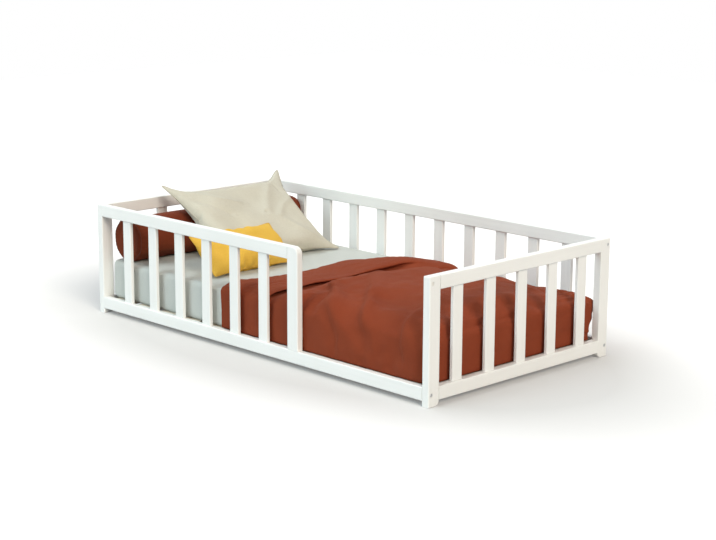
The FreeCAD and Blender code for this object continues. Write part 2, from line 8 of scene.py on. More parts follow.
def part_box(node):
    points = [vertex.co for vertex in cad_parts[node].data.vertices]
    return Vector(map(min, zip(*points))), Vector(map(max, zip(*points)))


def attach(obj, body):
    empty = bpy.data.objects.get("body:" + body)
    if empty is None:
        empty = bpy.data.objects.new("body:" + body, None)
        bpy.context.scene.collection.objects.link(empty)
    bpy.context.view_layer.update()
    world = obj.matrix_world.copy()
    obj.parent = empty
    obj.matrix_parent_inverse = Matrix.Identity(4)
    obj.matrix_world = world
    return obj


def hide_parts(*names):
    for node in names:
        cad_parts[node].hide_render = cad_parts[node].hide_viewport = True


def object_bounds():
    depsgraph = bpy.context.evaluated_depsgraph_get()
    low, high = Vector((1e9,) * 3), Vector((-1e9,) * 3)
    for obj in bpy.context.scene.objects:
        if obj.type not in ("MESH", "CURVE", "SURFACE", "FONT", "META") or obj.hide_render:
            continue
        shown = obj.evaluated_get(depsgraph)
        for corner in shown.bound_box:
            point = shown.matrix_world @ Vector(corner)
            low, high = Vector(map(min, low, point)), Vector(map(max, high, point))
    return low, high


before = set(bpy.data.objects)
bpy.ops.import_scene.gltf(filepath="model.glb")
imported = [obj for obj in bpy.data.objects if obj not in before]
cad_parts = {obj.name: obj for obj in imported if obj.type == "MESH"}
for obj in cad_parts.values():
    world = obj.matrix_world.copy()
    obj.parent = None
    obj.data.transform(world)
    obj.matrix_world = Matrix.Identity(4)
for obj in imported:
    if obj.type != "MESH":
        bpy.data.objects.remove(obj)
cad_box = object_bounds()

# Looks of a toddler floor bed, in metres. X runs from the head (-X) to the foot (+X), the open side faces
# -Y, and the origin is on the floor under the middle of the bed.

AXES = "xyz"

# ---- camera ----
CAMERA_PLACE = (3.5991, -3.4552, 1.3022)
CAMERA_AZIMUTH = 45.572        # degrees from +Y, towards -X
CAMERA_PITCH = 12.477          # degrees below the horizon
CAMERA_ROLL = 0.287
CAMERA_LENS = 83.80
CAMERA_SENSOR = 36.0

# ---- light ----
WORLD_LIGHT = 0.26
# Each lamp's name, the direction that it shines from, its strength, its width in degrees and its colour.
LAMPS = [("key", (-0.42, -0.12, 1.0), 0.96, 36.0, (0.97, 0.985, 1.0)),
         ("back", (-0.55, 1.0, 0.60), 0.42, 60.0, (0.97, 0.99, 1.0)),
         ("front", (-0.30, -1.0, 0.66), 1.54, 44.0, (0.77, 0.955, 1.0)),
         ("side", (1.0, -0.36, 0.70), 2.22, 28.0, (1.0, 0.90, 0.77))]
# What the floor adds to its own lit colour, as the camera sees it: near the bed and away from it, and where
# that changes, as shares of the bed's half length and half width. The smaller glow near the bed paints a
# soft shade on the floor round it.
FLOOR_GLOW = (0.145, 0.545)
FLOOR_GLOW_ENDS = (1.35, 2.15)
FLOOR_SPAN = 14.0

# ---- mesh steps ----
FABRIC_GRID = 0.006            # pillows
BODY_GRID = 0.010              # duvet, mattress and sheet

# ---- cloth simulation ----
CLOTH_QUALITY = 5
CLOTH_MASS = 0.3

# ---- noise and curves ----
TINY = 1e-12                   # keeps divisions off zero
WAVE_COUNT = 9
WAVE_SPREAD = (0.7, 1.5)       # how the waves in one noise differ in length
SPLINE_STEPS = 24


def waves(points, wavelength, seed):
    """Smooth noise, mostly from -1 to 1: plane waves in random directions, for points of any dimension."""
    draw = np.random.default_rng(seed)
    total = np.zeros(len(points))
    for _ in range(WAVE_COUNT):
        direction = draw.normal(size=points.shape[1])
        direction *= 2 * math.pi / np.linalg.norm(direction) / (wavelength * draw.uniform(*WAVE_SPREAD))
        total += np.sin(points @ direction + draw.uniform(0, 2 * math.pi))
    return total / math.sqrt(WAVE_COUNT)


def eased(value, start, end):
    """0 before start, 1 after end, and smooth between them. The end may be the smaller one."""
    share = np.clip((np.asarray(value) - start) / (end - start), 0, 1)
    return share * share * (3 - 2 * share)


def bell(distance, width):
    return np.exp(-(distance / width) ** 2)


def lengths(rows):
    """Each row's length as a vector, as a column that nothing is divided by zero with."""
    return np.maximum(np.linalg.norm(rows, axis=1, keepdims=True), TINY)


def softly_limited(value, limit, soft):
    """The value where it is well below the limit, and ever less of what goes beyond limit - soft."""
    start = limit - soft
    return np.where(value > start, limit - soft * np.exp(-(value - start) / soft), value)


def capped(start, end, cap):
    """The end points, none of them further than cap from its start."""
    moved = end - start
    return start + moved * np.minimum(1, cap / lengths(moved))


def run_along(line):
    """How far along a line each of its points is."""
    return np.concatenate([[0], np.cumsum(np.linalg.norm(np.diff(line, axis=0), axis=1))])


def at_places(rows, run, places):
    """Rows given along a run, worked out at other places along it."""
    return np.column_stack([np.interp(places, run, rows[:, k]) for k in range(rows.shape[1])])


def spline(points, count):
    """Evenly spaced points on a smooth curve through the given ones."""
    points = np.asarray(points, float)
    padded = np.vstack([2 * points[0] - points[1], points, 2 * points[-1] - points[-2]])
    fine = []
    for p0, p1, p2, p3 in zip(padded, padded[1:], padded[2:], padded[3:]):
        for t in np.linspace(0, 1, SPLINE_STEPS, endpoint=False):
            fine.append(0.5 * (2 * p1 + (p2 - p0) * t + (2 * p0 - 5 * p1 + 4 * p2 - p3) * t * t
                               + (3 * p1 - p0 - 3 * p2 + p3) * t ** 3))
    fine = np.array(fine + [points[-1]])
    run = run_along(fine)
    return at_places(fine, run, np.linspace(0, run[-1], count))


def distance_to_line(points, line):
    """How far each 2-D point is from a polyline, with its sign: positive on the line's left."""
    best = np.full(len(points), np.inf)
    signed = np.zeros(len(points))
    for start, end in zip(line, line[1:]):
        start, run = np.array(start), np.array(end) - np.array(start)
        share = np.clip((points - start) @ run / (run @ run), 0, 1)
        away = points - start - share[:, None] * run
        length = np.linalg.norm(away, axis=1)
        side = np.sign(run[0] * away[:, 1] - run[1] * away[:, 0])
        nearer = length < best
        best[nearer] = length[nearer]
        signed[nearer] = (side * length)[nearer]
    return signed


def fold_moves(places, folds, fade, right_share=1.0):
    """How far folds lift 2-D places.

    A fold is (line, width, rise). It dies out over fade at its ends, and right_share of its width is on its
    line's right.
    """
    total = np.zeros(len(places))
    for line, width, rise in folds:
        away = distance_to_line(places, line)
        ends = np.minimum(np.hypot(*(places - line[0]).T), np.hypot(*(places - line[-1]).T))
        total += rise * bell(away, np.where(away > 0, width, width * right_share)) * eased(ends, 0, fade)
    return total


# ---- meshes ----
def corners(node):
    """A node's lowest and highest corners at rest."""
    return [np.array(corner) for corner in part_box(node)]


def mesh_object(name, points, faces, cloth=None):
    """A smooth mesh. cloth holds each point's place on the flat fabric, in metres, for the weave."""
    mesh = bpy.data.meshes.new(name)
    mesh.from_pydata([tuple(p) for p in points], [], [tuple(f) for f in faces])
    mesh.update()
    mesh.shade_smooth()
    if cloth is not None:
        flat = np.zeros((len(points), 3), np.float32)
        flat[:, :np.shape(cloth)[1]] = cloth
        mesh.attributes.new("cloth", "FLOAT_VECTOR", "POINT").data.foreach_set("vector", flat.ravel())
    obj = bpy.data.objects.new(name, mesh)
    bpy.context.scene.collection.objects.link(obj)
    return obj


def piece(obj, body, material, nodes=(), smoother=0):
    """Files a finished piece: its material, its body and the nodes that it stands for."""
    obj.data.materials.append(material)
    if smoother:
        subdivision = obj.modifiers.new("smoother", "SUBSURF")
        subdivision.levels = smoother
        subdivision.render_levels = smoother
    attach(obj, body)
    if nodes:
        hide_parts(*nodes)
    return obj


def normals(points, faces):
    """Each point's outward direction on a mesh of quads."""
    faces = np.array(faces)
    quads = points[faces]
    areas = np.cross(quads[:, 2] - quads[:, 0], quads[:, 3] - quads[:, 1])
    total = np.zeros_like(points)
    for corner in range(4):
        np.add.at(total, faces[:, corner], areas)
    return total / lengths(total)


def lattice(counts, sides):
    """Lattice places and outward quads on chosen sides of a box.

    A side is (axis, whether it is the far one).
    """
    index, faces = {}, []
    for axis, far in sides:
        first, second = [k for k in range(3) if k != axis]
        outward = (axis != 1) == far
        for i in range(counts[first]):
            for j in range(counts[second]):
                quad = []
                for step_i, step_j in ((0, 0), (1, 0), (1, 1), (0, 1)):
                    key = [counts[axis] if far else 0] * 3
                    key[first], key[second] = i + step_i, j + step_j
                    quad.append(index.setdefault(tuple(key), len(index)))
                faces.append(quad if outward else quad[::-1])
    return np.array(list(index)), faces


def block_surface(low, high):
    """Points and quads on all six sides of a box."""
    counts = [max(2, round(side / BODY_GRID)) for side in high - low]
    places, faces = lattice(counts, [(axis, far) for axis in range(3) for far in (False, True)])
    return low + places / np.array(counts) * (high - low), faces


def rounded_block(points, low, high, corner, rim):
    """Maps points on a box's faces to the box with round upright corners and a round rim above and below."""
    plan = points[:, :2]
    inner = np.clip(plan, low[:2] + corner, high[:2] - corner)
    off = plan - inner
    outward = off / lengths(off)
    ring = np.abs(off).max(axis=1, keepdims=True)
    middle, half = (low[2] + high[2]) / 2, (high[2] - low[2]) / 2
    up = points[:, 2:] - middle
    near_edge = np.clip((ring - (corner - rim)) / rim, 0, 1)
    near_rim = np.clip((np.abs(up) - (half - rim)) / rim, 0, 1)
    both = np.maximum(np.hypot(near_edge, near_rim), TINY)
    bend = (near_edge > 0) & (near_rim > 0)
    plan_reach = np.where(bend, corner - rim + rim * near_edge / both, ring)
    up_reach = np.where(bend, half - rim + rim * near_rim / both, np.abs(up))
    return np.hstack([inner + outward * plan_reach, middle + np.sign(up) * up_reach])


def simulated(points, faces, pins, pressure, growth=0.0, frames=20, stiffness=15.0, bending=0.5):
    """The points after a short cloth simulation without gravity.

    pins holds how firmly each point stays put, and growth is the share by which the fabric is too large.
    """
    obj = mesh_object("cloth_try", points, faces)
    modifier = obj.modifiers.new("cloth", "CLOTH")
    if np.any(pins):
        group = obj.vertex_groups.new(name="pins")
        for index in np.nonzero(pins)[0]:
            group.add([int(index)], float(pins[index]), "REPLACE")
        modifier.settings.vertex_group_mass = "pins"
    settings = modifier.settings
    settings.quality = CLOTH_QUALITY
    settings.mass = CLOTH_MASS
    settings.tension_stiffness = stiffness
    settings.compression_stiffness = stiffness
    settings.shear_stiffness = stiffness / 3
    settings.bending_stiffness = bending
    settings.use_pressure = True
    settings.uniform_pressure_force = pressure
    settings.shrink_min = -growth
    settings.effector_weights.gravity = 0
    modifier.collision_settings.use_collision = False
    modifier.point_cache.frame_start = 1
    modifier.point_cache.frame_end = frames
    scene = bpy.context.scene
    for number in range(1, frames + 1):
        scene.frame_set(number)
    evaluated = obj.evaluated_get(bpy.context.evaluated_depsgraph_get())
    result = np.zeros(len(points) * 3, np.float32)
    evaluated.data.vertices.foreach_get("co", result)
    bpy.data.objects.remove(obj)
    scene.frame_set(1)
    return result.reshape(-1, 3).astype(float)


# ---- materials ----
class Nodes:
    """A node tree in the making: each call adds a node and returns its output."""

    def __init__(self, tree):
        self.tree = tree

    def add(self, kind, inputs, output=0, **settings):
        node = self.tree.nodes.new(kind)
        for key, value in settings.items():
            setattr(node, key, value)
        for key, value in inputs.items():
            self.put(node.inputs[key], value)
        return node.outputs[output]

    def put(self, socket, value):
        if isinstance(value, bpy.types.NodeSocket):
            self.tree.links.new(value, socket)
        else:
            socket.default_value = value

    def math(self, operation, first, second=0.0):
        return self.add("ShaderNodeMath", {0: first, 1: second}, operation=operation)

    def times(self, first, second):
        return self.math("MULTIPLY", first, second)

    def plus(self, first, second):
        return self.math("ADD", first, second)

    def ranged(self, value, low, high, to_low=0.0, to_high=1.0):
        return self.add("ShaderNodeMapRange", {"Value": value, "From Min": low, "From Max": high,
                                               "To Min": to_low, "To Max": to_high})

    def seen(self):
        """1 for a ray from the camera, a glossy surface or a clear one, and 0 for any other."""
        camera_ray, glossy, clear = [self.add("ShaderNodeLightPath", {}, kind) for kind in
                                     ("Is Camera Ray", "Is Glossy Ray", "Is Transmission Ray")]
        return self.math("MINIMUM", self.plus(self.plus(camera_ray, glossy), clear), 1.0)


class Finish(Nodes):
    """One material in the making."""

    def __init__(self, name):
        self.material = bpy.data.materials.new(name)
        self.material.use_nodes = True
        super().__init__(self.material.node_tree)
        self.shader = self.tree.nodes["Principled BSDF"]

    def set(self, **values):
        """Sets the shader's sockets: words are joined by an underscore."""
        for key, value in values.items():
            self.put(self.shader.inputs[key.replace("_", " ")], value)

    def where(self):
        return self.add("ShaderNodeTexCoord", {}, "Object")

    def cloth(self):
        return self.add("ShaderNodeAttribute", {}, "Vector", attribute_name="cloth")

    def component(self, vector, axis):
        return self.add("ShaderNodeSeparateXYZ", {0: vector}, axis)

    def scaled(self, vector, scale):
        return self.add("ShaderNodeMapping", {"Vector": vector, "Scale": scale})

    def noise(self, vector, scale, detail=4.0, roughness=0.55, distortion=0.0):
        return self.add("ShaderNodeTexNoise", {"Vector": vector, "Scale": scale, "Detail": detail,
                                               "Roughness": roughness, "Distortion": distortion})

    def mixed(self, share, first, second):
        first, second = [(*end, 1) if isinstance(end, tuple) else end for end in (first, second)]
        return self.add("ShaderNodeMix", {0: share, 6: first, 7: second}, 2, data_type="RGBA")

    def bump(self, height, strength, distance):
        self.put(self.shader.inputs["Normal"], self.add(
            "ShaderNodeBump", {"Height": height, "Strength": strength, "Distance": distance}))


def along_grain(axis, along, across):
    """A scale for noise that is drawn out along an axis."""
    scale = [across] * 3
    scale[axis] = along
    return scale


def painted_wood(axis):
    """White satin paint on wood whose grain runs along an axis, a little worn on its edges."""
    finish = Finish("white_paint_on_grain_" + AXES[axis])
    where = finish.where()
    grain = finish.noise(finish.scaled(where, along_grain(axis, 9.0, 520.0)), 1.0, 5.0, 0.6)
    figure = finish.noise(finish.scaled(where, along_grain(axis, 3.0, 60.0)), 1.0, 3.0, 0.5, 0.6)
    patches = finish.noise(where, 6.0, 2.0)
    tone = finish.plus(finish.times(figure, 0.5), finish.times(patches, 0.5))
    paint = finish.mixed(finish.ranged(tone, 0.3, 0.7), (0.795, 0.81, 0.80), (0.855, 0.87, 0.865))
    soft_normal = finish.add("ShaderNodeBevel", {"Radius": 0.0012}, samples=4)
    normal = finish.add("ShaderNodeNewGeometry", {}, "Normal")
    facing = finish.add("ShaderNodeVectorMath", {0: soft_normal, 1: normal}, "Value",
                        operation="DOT_PRODUCT")
    edge = finish.ranged(facing, 0.995, 0.9)
    rubbed = finish.ranged(finish.noise(where, 45.0, 5.0, 0.65), 0.5, 0.72)
    worn = finish.times(finish.times(edge, rubbed), 0.5)
    finish.set(Base_Color=finish.mixed(worn, paint, (0.62, 0.52, 0.38)),
               Roughness=finish.ranged(finish.noise(where, 30.0, 3.0), 0.3, 0.7, 0.36, 0.5),
               Coat_Weight=0.12, Coat_Roughness=0.3)
    finish.bump(finish.plus(grain, finish.times(figure, 0.8)), 0.22, 0.0005)
    return finish.material


def bare_wood():
    """Unpainted pine for the base: boards along Y, with growth rings, pores and a few darker streaks."""
    finish = Finish("bare_pine")
    where = finish.where()
    rings = finish.noise(finish.scaled(where, along_grain(1, 1.6, 26.0)), 1.0, 2.0, 0.5, 1.2)
    lines = finish.math("ABSOLUTE", finish.math("SINE", finish.times(rings, 46.0)))
    pores = finish.noise(finish.scaled(where, along_grain(1, 18.0, 900.0)), 1.0, 3.0)
    tone = finish.plus(finish.times(lines, 0.55), finish.times(pores, 0.5))
    finish.set(Base_Color=finish.mixed(finish.ranged(tone, 0.2, 0.9), (0.76, 0.70, 0.60),
                                       (0.66, 0.59, 0.48)),
               Roughness=finish.ranged(pores, 0.3, 0.7, 0.55, 0.75))
    finish.bump(tone, 0.3, 0.0005)
    return finish.material


def zinc_steel():
    """Zinc-plated steel: faint crystalline clouds, fine turning marks and duller patches."""
    finish = Finish("zinc_plated_steel")
    where = finish.where()
    clouds = finish.noise(where, 380.0, 4.0, 0.6)
    marks = finish.noise(finish.scaled(where, along_grain(0, 3000.0, 900.0)), 1.0, 2.0)
    finish.set(Base_Color=finish.mixed(clouds, (0.46, 0.47, 0.48), (0.66, 0.67, 0.68)), Metallic=1.0,
               Roughness=finish.ranged(clouds, 0.3, 0.7, 0.28, 0.48))
    finish.bump(marks, 0.2, 0.0001)
    return finish.material


def plug_plastic():
    """White moulded plastic with a fine spark-eroded texture."""
    finish = Finish("white_moulded_plastic")
    where = finish.where()
    texture = finish.noise(where, 2600.0, 3.0)
    clouds = finish.noise(where, 160.0, 2.0)
    finish.set(Base_Color=finish.mixed(clouds, (0.74, 0.73, 0.69), (0.80, 0.79, 0.76)),
               Roughness=finish.ranged(texture, 0.3, 0.7, 0.42, 0.56))
    finish.bump(texture, 0.25, 0.0001)
    return finish.material


WEBBING_PITCH = (0.0022, 0.0016)    # of its threads, along the strap and across it


def webbing():
    """Undyed woven webbing along X: a close twill with paler wear."""
    finish = Finish("woven_webbing")
    where = finish.where()
    along, across = [finish.times(finish.component(where, axis), 2 * math.pi / WEBBING_PITCH[axis])
                     for axis in range(2)]
    twill = finish.math("SINE", finish.plus(along, across))
    ribs = finish.math("SINE", across)
    weave = finish.plus(finish.times(twill, 0.6), finish.times(ribs, 0.4))
    tone = finish.plus(finish.times(weave, 0.18), finish.noise(where, 25.0, 4.0))
    finish.set(Base_Color=finish.mixed(finish.ranged(tone, 0.2, 0.8), (0.34, 0.31, 0.26),
                                       (0.58, 0.54, 0.46)),
               Roughness=0.85, Sheen_Weight=0.15)
    finish.bump(weave, 0.6, 0.0004)
    return finish.material


def fabric(name, dark, light, thread, slub=0.3, sheen=0.2, sheen_tint=(1, 1, 1)):
    """Plain-woven fabric: crossing threads, uneven yarn along both directions and soft mottling."""
    finish = Finish(name)
    cloth, where = finish.cloth(), finish.where()
    turn = math.pi / thread
    warp, weft = [finish.math("SINE", finish.times(finish.component(cloth, axis), turn))
                  for axis in range(2)]
    weave = finish.times(warp, weft)
    fine, coarse = 1 / (3 * thread), 22.0
    long_yarn, cross_yarn = [finish.noise(finish.scaled(cloth, scale), 1.0, 3.0, 0.6)
                             for scale in ((fine, coarse, 1.0), (coarse, fine, 1.0))]
    yarn = finish.times(finish.plus(long_yarn, cross_yarn), 0.5)
    clouds = finish.noise(where, 9.0, 3.0)
    flecks = finish.noise(where, 240.0, 3.0)
    tone = finish.plus(finish.times(clouds, 0.5), finish.times(flecks, 0.25))
    tone = finish.plus(tone, finish.times(yarn, slub))
    tone = finish.plus(tone, finish.times(weave, 0.06))
    middle = (0.75 + slub) / 2
    finish.set(Base_Color=finish.mixed(finish.ranged(tone, middle - 0.22, middle + 0.22), dark, light),
               Roughness=finish.ranged(yarn, 0.3, 0.7, 0.78, 0.95), Specular_IOR_Level=0.15,
               Sheen_Weight=sheen, Sheen_Roughness=0.45, Sheen_Tint=(*sheen_tint, 1))
    finish.bump(finish.plus(finish.times(weave, 0.5), finish.times(yarn, 2 * slub)), 0.35, 0.0006)
    return finish.material


def floor_material():
    """A white floor that the camera and mirrors see a little brighter than it is lit, less so near the bed,
    which paints a soft shade round the bed.
    """
    finish = Finish("studio_floor")
    where = finish.where()
    half = cad_box[1]
    away = finish.add("ShaderNodeVectorMath", {0: finish.scaled(where, (1 / half[0], 1 / half[1], 1.0))},
                      "Value", operation="LENGTH")
    # Less glow near the bed than away from it: painted shade on the floor round the bed.
    glow = finish.ranged(away, *FLOOR_GLOW_ENDS, *FLOOR_GLOW)
    finish.set(Base_Color=finish.mixed(finish.noise(where, 3.0, 2.0), (0.535, 0.532, 0.527),
                                       (0.55, 0.547, 0.542)),
               Roughness=0.9, Specular_IOR_Level=0.1, Emission_Color=(1, 1, 1, 1),
               Emission_Strength=finish.times(finish.seen(), glow))
    return finish.material


WOOD = [painted_wood(axis) for axis in range(3)]
PINE = bare_wood()
STEEL = zinc_steel()
PLASTIC = plug_plastic()
WEBBING = webbing()
RED_SHEEN = (0.9, 0.5, 0.35)
TICKING = fabric("mattress_ticking", (0.62, 0.61, 0.57), (0.74, 0.73, 0.70), 0.0009, 0.4)
SHEET_COTTON = fabric("pale_grey_cotton", (0.50, 0.53, 0.505), (0.585, 0.605, 0.58), 0.0005, 0.2, 0.04)
DUVET_COTTON = fabric("terracotta_cotton", (0.190, 0.0345, 0.013), (0.248, 0.050, 0.020), 0.0006, 0.3,
                      0.03, RED_SHEEN)
# The bolster's cotton is rust brown and darker still: the extra darkness is painted shade for where it lies
# under the pillow.
BOLSTER_COTTON = fabric("rust_brown_cotton_with_painted_shade", (0.130, 0.024, 0.009), (0.182, 0.036, 0.014), 0.0006, 0.35,
                        0.04, RED_SHEEN)
PILLOW_LINEN = fabric("greige_linen", (0.50, 0.475, 0.395), (0.615, 0.60, 0.515), 0.0008, 0.55, 0.08)
CUSHION_COTTON = fabric("mustard_cotton", (0.66, 0.40, 0.055), (0.82, 0.53, 0.09), 0.0007, 0.4, 0.05,
                        (1.0, 0.85, 0.5))
DUVET_THREAD = fabric("terracotta_thread", (0.25, 0.06, 0.03), (0.32, 0.085, 0.045), 0.0004)
BOLSTER_THREAD = fabric("rust_brown_thread", (0.11, 0.02, 0.008), (0.16, 0.03, 0.012), 0.0004)
LINEN_THREAD = fabric("greige_thread", (0.40, 0.375, 0.30), (0.50, 0.47, 0.385), 0.0004)
MUSTARD_THREAD = fabric("mustard_thread", (0.56, 0.33, 0.045), (0.70, 0.43, 0.07), 0.0004)
# The nodes that aren't painted wood.
OTHER_FINISHES = [(STEEL, "corner_bolts barrel_nuts board_screws ledger_screws strap_staples"),
                  (WEBBING, "webbing_straps"), (PLASTIC, "blanking_plug"),
                  (PINE, "base_boards front_ledger back_ledger corner_dowels panel_dowels")]


def wood_axis(name):
    """The axis that a painted member's grain follows: its longest side."""
    low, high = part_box(name)
    size = high - low
    return max(range(3), key=lambda axis: size[axis])


def finish_frame():
    """Gives every carried-over node its material."""
    other = {name: material for material, names in OTHER_FINISHES for name in names.split()}
    for name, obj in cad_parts.items():
        material = other.get(name) or WOOD[wood_axis(name)]
        if not obj.material_slots:
            obj.data.materials.append(material)
        for slot in obj.material_slots:
            slot.material = material


# ---- mattress and sheet ----
MATTRESS_CORNER = 0.030
MATTRESS_RIM = 0.012
QUILT_PITCH = 0.09
QUILT_CHANNEL = (0.011, 0.004)      # the width and the depth of a sewn channel
SHEET_HEM = 0.070
SHEET_CLOTH = 0.0008
SHEET_BARE = (-0.14, -0.22)    # X where the sheet starts to wrinkle, head-side of the duvet
GATHERS = (0.0022, 0.021, 0.10)     # the height and the pitch of its gathers, and how far round a corner


def mattress():
    """The core in its quilted cover: diamond channels underneath, where the sheet leaves it open."""
    low, high = corners("mattress")
    flat, faces = block_surface(low, high)
    points = rounded_block(flat, low, high, MATTRESS_CORNER, MATTRESS_RIM)
    channels = np.zeros(len(points))
    for sign in (-1, 1):
        across = (points[:, 0] + sign * points[:, 1]) / QUILT_PITCH
        off_channel = (across - np.round(across)) * QUILT_PITCH
        channels = np.maximum(channels, bell(off_channel, QUILT_CHANNEL[0]))
    underneath = eased(points[:, 2], low[2] + 0.002, low[2])
    points[:, 2] += QUILT_CHANNEL[1] * channels * underneath
    obj = mesh_object("mattress_core", points, faces, points)
    piece(obj, "mattress", TICKING, ["mattress"])


def fitted_sheet():
    """The stretched sheet, with small gathers at its corners, open underneath inside its hem."""
    low, high = corners("fitted_sheet")
    flat, faces = block_surface(low, high)
    points = rounded_block(flat, low, high, MATTRESS_CORNER + SHEET_CLOTH, MATTRESS_RIM + SHEET_CLOTH)
    open_low, open_high = low[:2] + SHEET_HEM, high[:2] - SHEET_HEM

    def in_opening(face):
        middle = points[face].mean(axis=0)
        inside = np.all(middle[:2] > open_low) and np.all(middle[:2] < open_high)
        return inside and middle[2] < low[2] + 0.001

    faces = [face for face in faces if not in_opening(face)]
    used = sorted({index for face in faces for index in face})
    renumber = {old: new for new, old in enumerate(used)}
    faces = [[renumber[index] for index in face] for face in faces]
    points, flat = points[used], flat[used]
    points += sheet_wrinkles(points, low, high)
    drop = np.maximum(0, high[2] - flat[:, 2])[:, None]
    outward = np.sign(flat[:, :2]) * (np.abs(points[:, :2]) > np.abs(high[:2]) - 0.02)
    obj = mesh_object("fitted_sheet_cloth", points, faces, flat[:, :2] + outward * drop)
    thick = obj.modifiers.new("cloth_thickness", "SOLIDIFY")
    thick.thickness = SHEET_CLOTH
    thick.offset = -1
    piece(obj, "mattress", SHEET_COTTON, ["fitted_sheet"])


def sheet_wrinkles(points, low, high):
    """Outward moves of the sheet: upright gathers near its corners, and faint creases on its bare top."""
    middle, half = (low + high) / 2, (high - low) / 2
    off = np.abs(points - middle)
    bare = eased(points[:, 0], *SHEET_BARE)
    end, side = [eased(off[:, axis], half[axis] - 0.010, half[axis] - 0.002) for axis in range(2)]
    near_corner = bell(np.hypot(off[:, 0] - half[0], off[:, 1] - half[1]), GATHERS[2])
    run = points[:, 0] * side + points[:, 1] * end
    gathers = 0.5 + 0.5 * np.sin(run * 2 * math.pi / GATHERS[1] + 2.2 * waves(points, 0.16, 5))
    slack = np.clip(0.5 + 0.5 * waves(points * (1, 1, 0.35), 0.09, 6), 0, 2)
    out = GATHERS[0] * near_corner * gathers * bare + 0.0014 * slack * np.maximum(bare, 0.15)
    out = out * np.maximum(side, end)
    moves = np.zeros_like(points)
    moves[:, 0] = end * np.sign(points[:, 0] - middle[0]) * out
    moves[:, 1] = side * np.sign(points[:, 1]) * out
    slanting = points[:, :2] @ np.array([[1, 0.35], [-0.35, 1]]) * (0.45, 1.6)
    creases = np.clip(waves(slanting, 0.075, 8), 0, 2)
    moves[:, 2] = eased(points[:, 2], high[2] - 0.004, high[2]) * bare * 0.0012 * creases
    return moves


# ---- seams ----
SEAM_SIDES = 8
SEAM_STEP = 0.006              # about how far apart a seam's points are
STITCH_SIDES = 6
# A stitch's section along it: place as a share of its length, and thickness as a share of its own.
STITCH_RINGS = [(-0.5, 0.25), (-0.36, 0.8), (0.0, 1.0), (0.36, 0.8), (0.5, 0.25)]
STITCH_FLATNESS = 0.7


def smoothed_loop(points):
    return (np.roll(points, 1, axis=0) + 2 * points + np.roll(points, -1, axis=0)) / 4


def tube_faces(start, rings, sides, closed=False):
    """Quads between a tube's rings of points. A closed tube's last ring is joined to its first."""
    faces = []
    for i in range(rings if closed else rings - 1):
        here, there = start + i * sides, start + (i + 1) % rings * sides
        for j in range(sides):
            after = (j + 1) % sides
            faces.append([here + j, here + after, there + after, there + j])
    return faces


def welt(name, loop, radius, body, material):
    """A thin closed tube along a seam."""
    count, sides = len(loop), SEAM_SIDES
    along = np.roll(loop, -1, axis=0) - np.roll(loop, 1, axis=0)
    along /= lengths(along)
    first = np.cross(along, loop - loop.mean(axis=0))
    first /= lengths(first)
    second = np.cross(along, first)
    turns = np.arange(sides) * 2 * math.pi / sides
    points = (loop[:, None] + radius * (np.cos(turns)[None, :, None] * first[:, None]
                                        + np.sin(turns)[None, :, None] * second[:, None])).reshape(-1, 3)
    run = np.repeat(np.arange(count) * SEAM_STEP, sides)
    cloth = np.column_stack([run, np.tile(turns, count) * radius])
    return piece(mesh_object(name, points, tube_faces(0, count, sides, True), cloth), body, material)


def stitches(name, line, up, radius, body, material):
    """Running stitches along a line: rounded bars half sunk in the fabric, whose outward side is up."""
    sides = STITCH_SIDES
    points, faces, cloth = [], [], []
    for k in range(0, len(line) - 1, 2):
        run = line[k + 1] - line[k]
        length = np.linalg.norm(run)
        along = run / length
        side = np.cross(along, up[k])
        side /= np.linalg.norm(side)
        out = np.cross(side, along)
        start = len(points)
        for place, thick in STITCH_RINGS:
            for turn in np.arange(sides) * 2 * math.pi / sides:
                arm = math.cos(turn) * side + STITCH_FLATNESS * math.sin(turn) * out
                points.append((line[k] + line[k + 1]) / 2 + place * run + radius * thick * arm)
                cloth.append((place * length, turn * radius))
        faces += tube_faces(start, len(STITCH_RINGS), sides)
        faces.append([start + j for j in reversed(range(sides))])
        faces.append([len(points) - sides + j for j in range(sides)])
    obj = mesh_object(name, points, faces, np.array(cloth))
    return piece(obj, body, material)


def seam_loop(points, flat, seam):
    """The seam's points in order round the pillow."""
    places = np.nonzero(seam)[0]
    u, v = flat[places, 0] / flat[:, 0].max(), flat[places, 1] / flat[:, 1].max()
    around = np.where(np.abs(u) >= np.abs(v), np.where(u > 0, v, 4 - v), np.where(v > 0, 2 - u, 6 + u))
    return points[places[np.argsort(around % 8)]]


# ---- bolster ----
BOLSTER_ROUND = 0.014          # how far its rims are rounded
BOLSTER_STEP = 0.008           # from ring to ring of its body
BOLSTER_TURNS = 96             # points round it
BOLSTER_DISH = 0.006           # how far the middle of its ends is sunk
BOLSTER_RIM = 0.004            # from its end to its rim seam
BOLSTER_SLACK = 0.0022         # how far its fabric ripples, and on average lies below its full size
BOLSTER_PUCKERS = (34, 0.0012)      # how many puckers each end has, and how high they are
BOLSTER_DENT = 0.004
BOLSTER_SEAM = 0.0014


def bolster_profile(radius, half):
    """(distance from the axis, place along it) from the middle of one end to the middle of the other."""
    cap = [(0.0, half - BOLSTER_DISH), (0.25 * radius, half - 0.004), (0.6 * radius, half - 0.0015),
           (0.82 * radius, half), (radius - 0.004, half - 0.003), (radius, half - BOLSTER_ROUND)]
    end = spline(cap, 16)[1:]
    count = round(2 * (half - BOLSTER_ROUND) / BOLSTER_STEP)
    body = np.column_stack([np.full(count - 1, radius),
                            np.linspace(half - BOLSTER_ROUND, BOLSTER_ROUND - half, count + 1)[1:-1]])
    return np.vstack([end, body, (end * (1, -1))[::-1]])


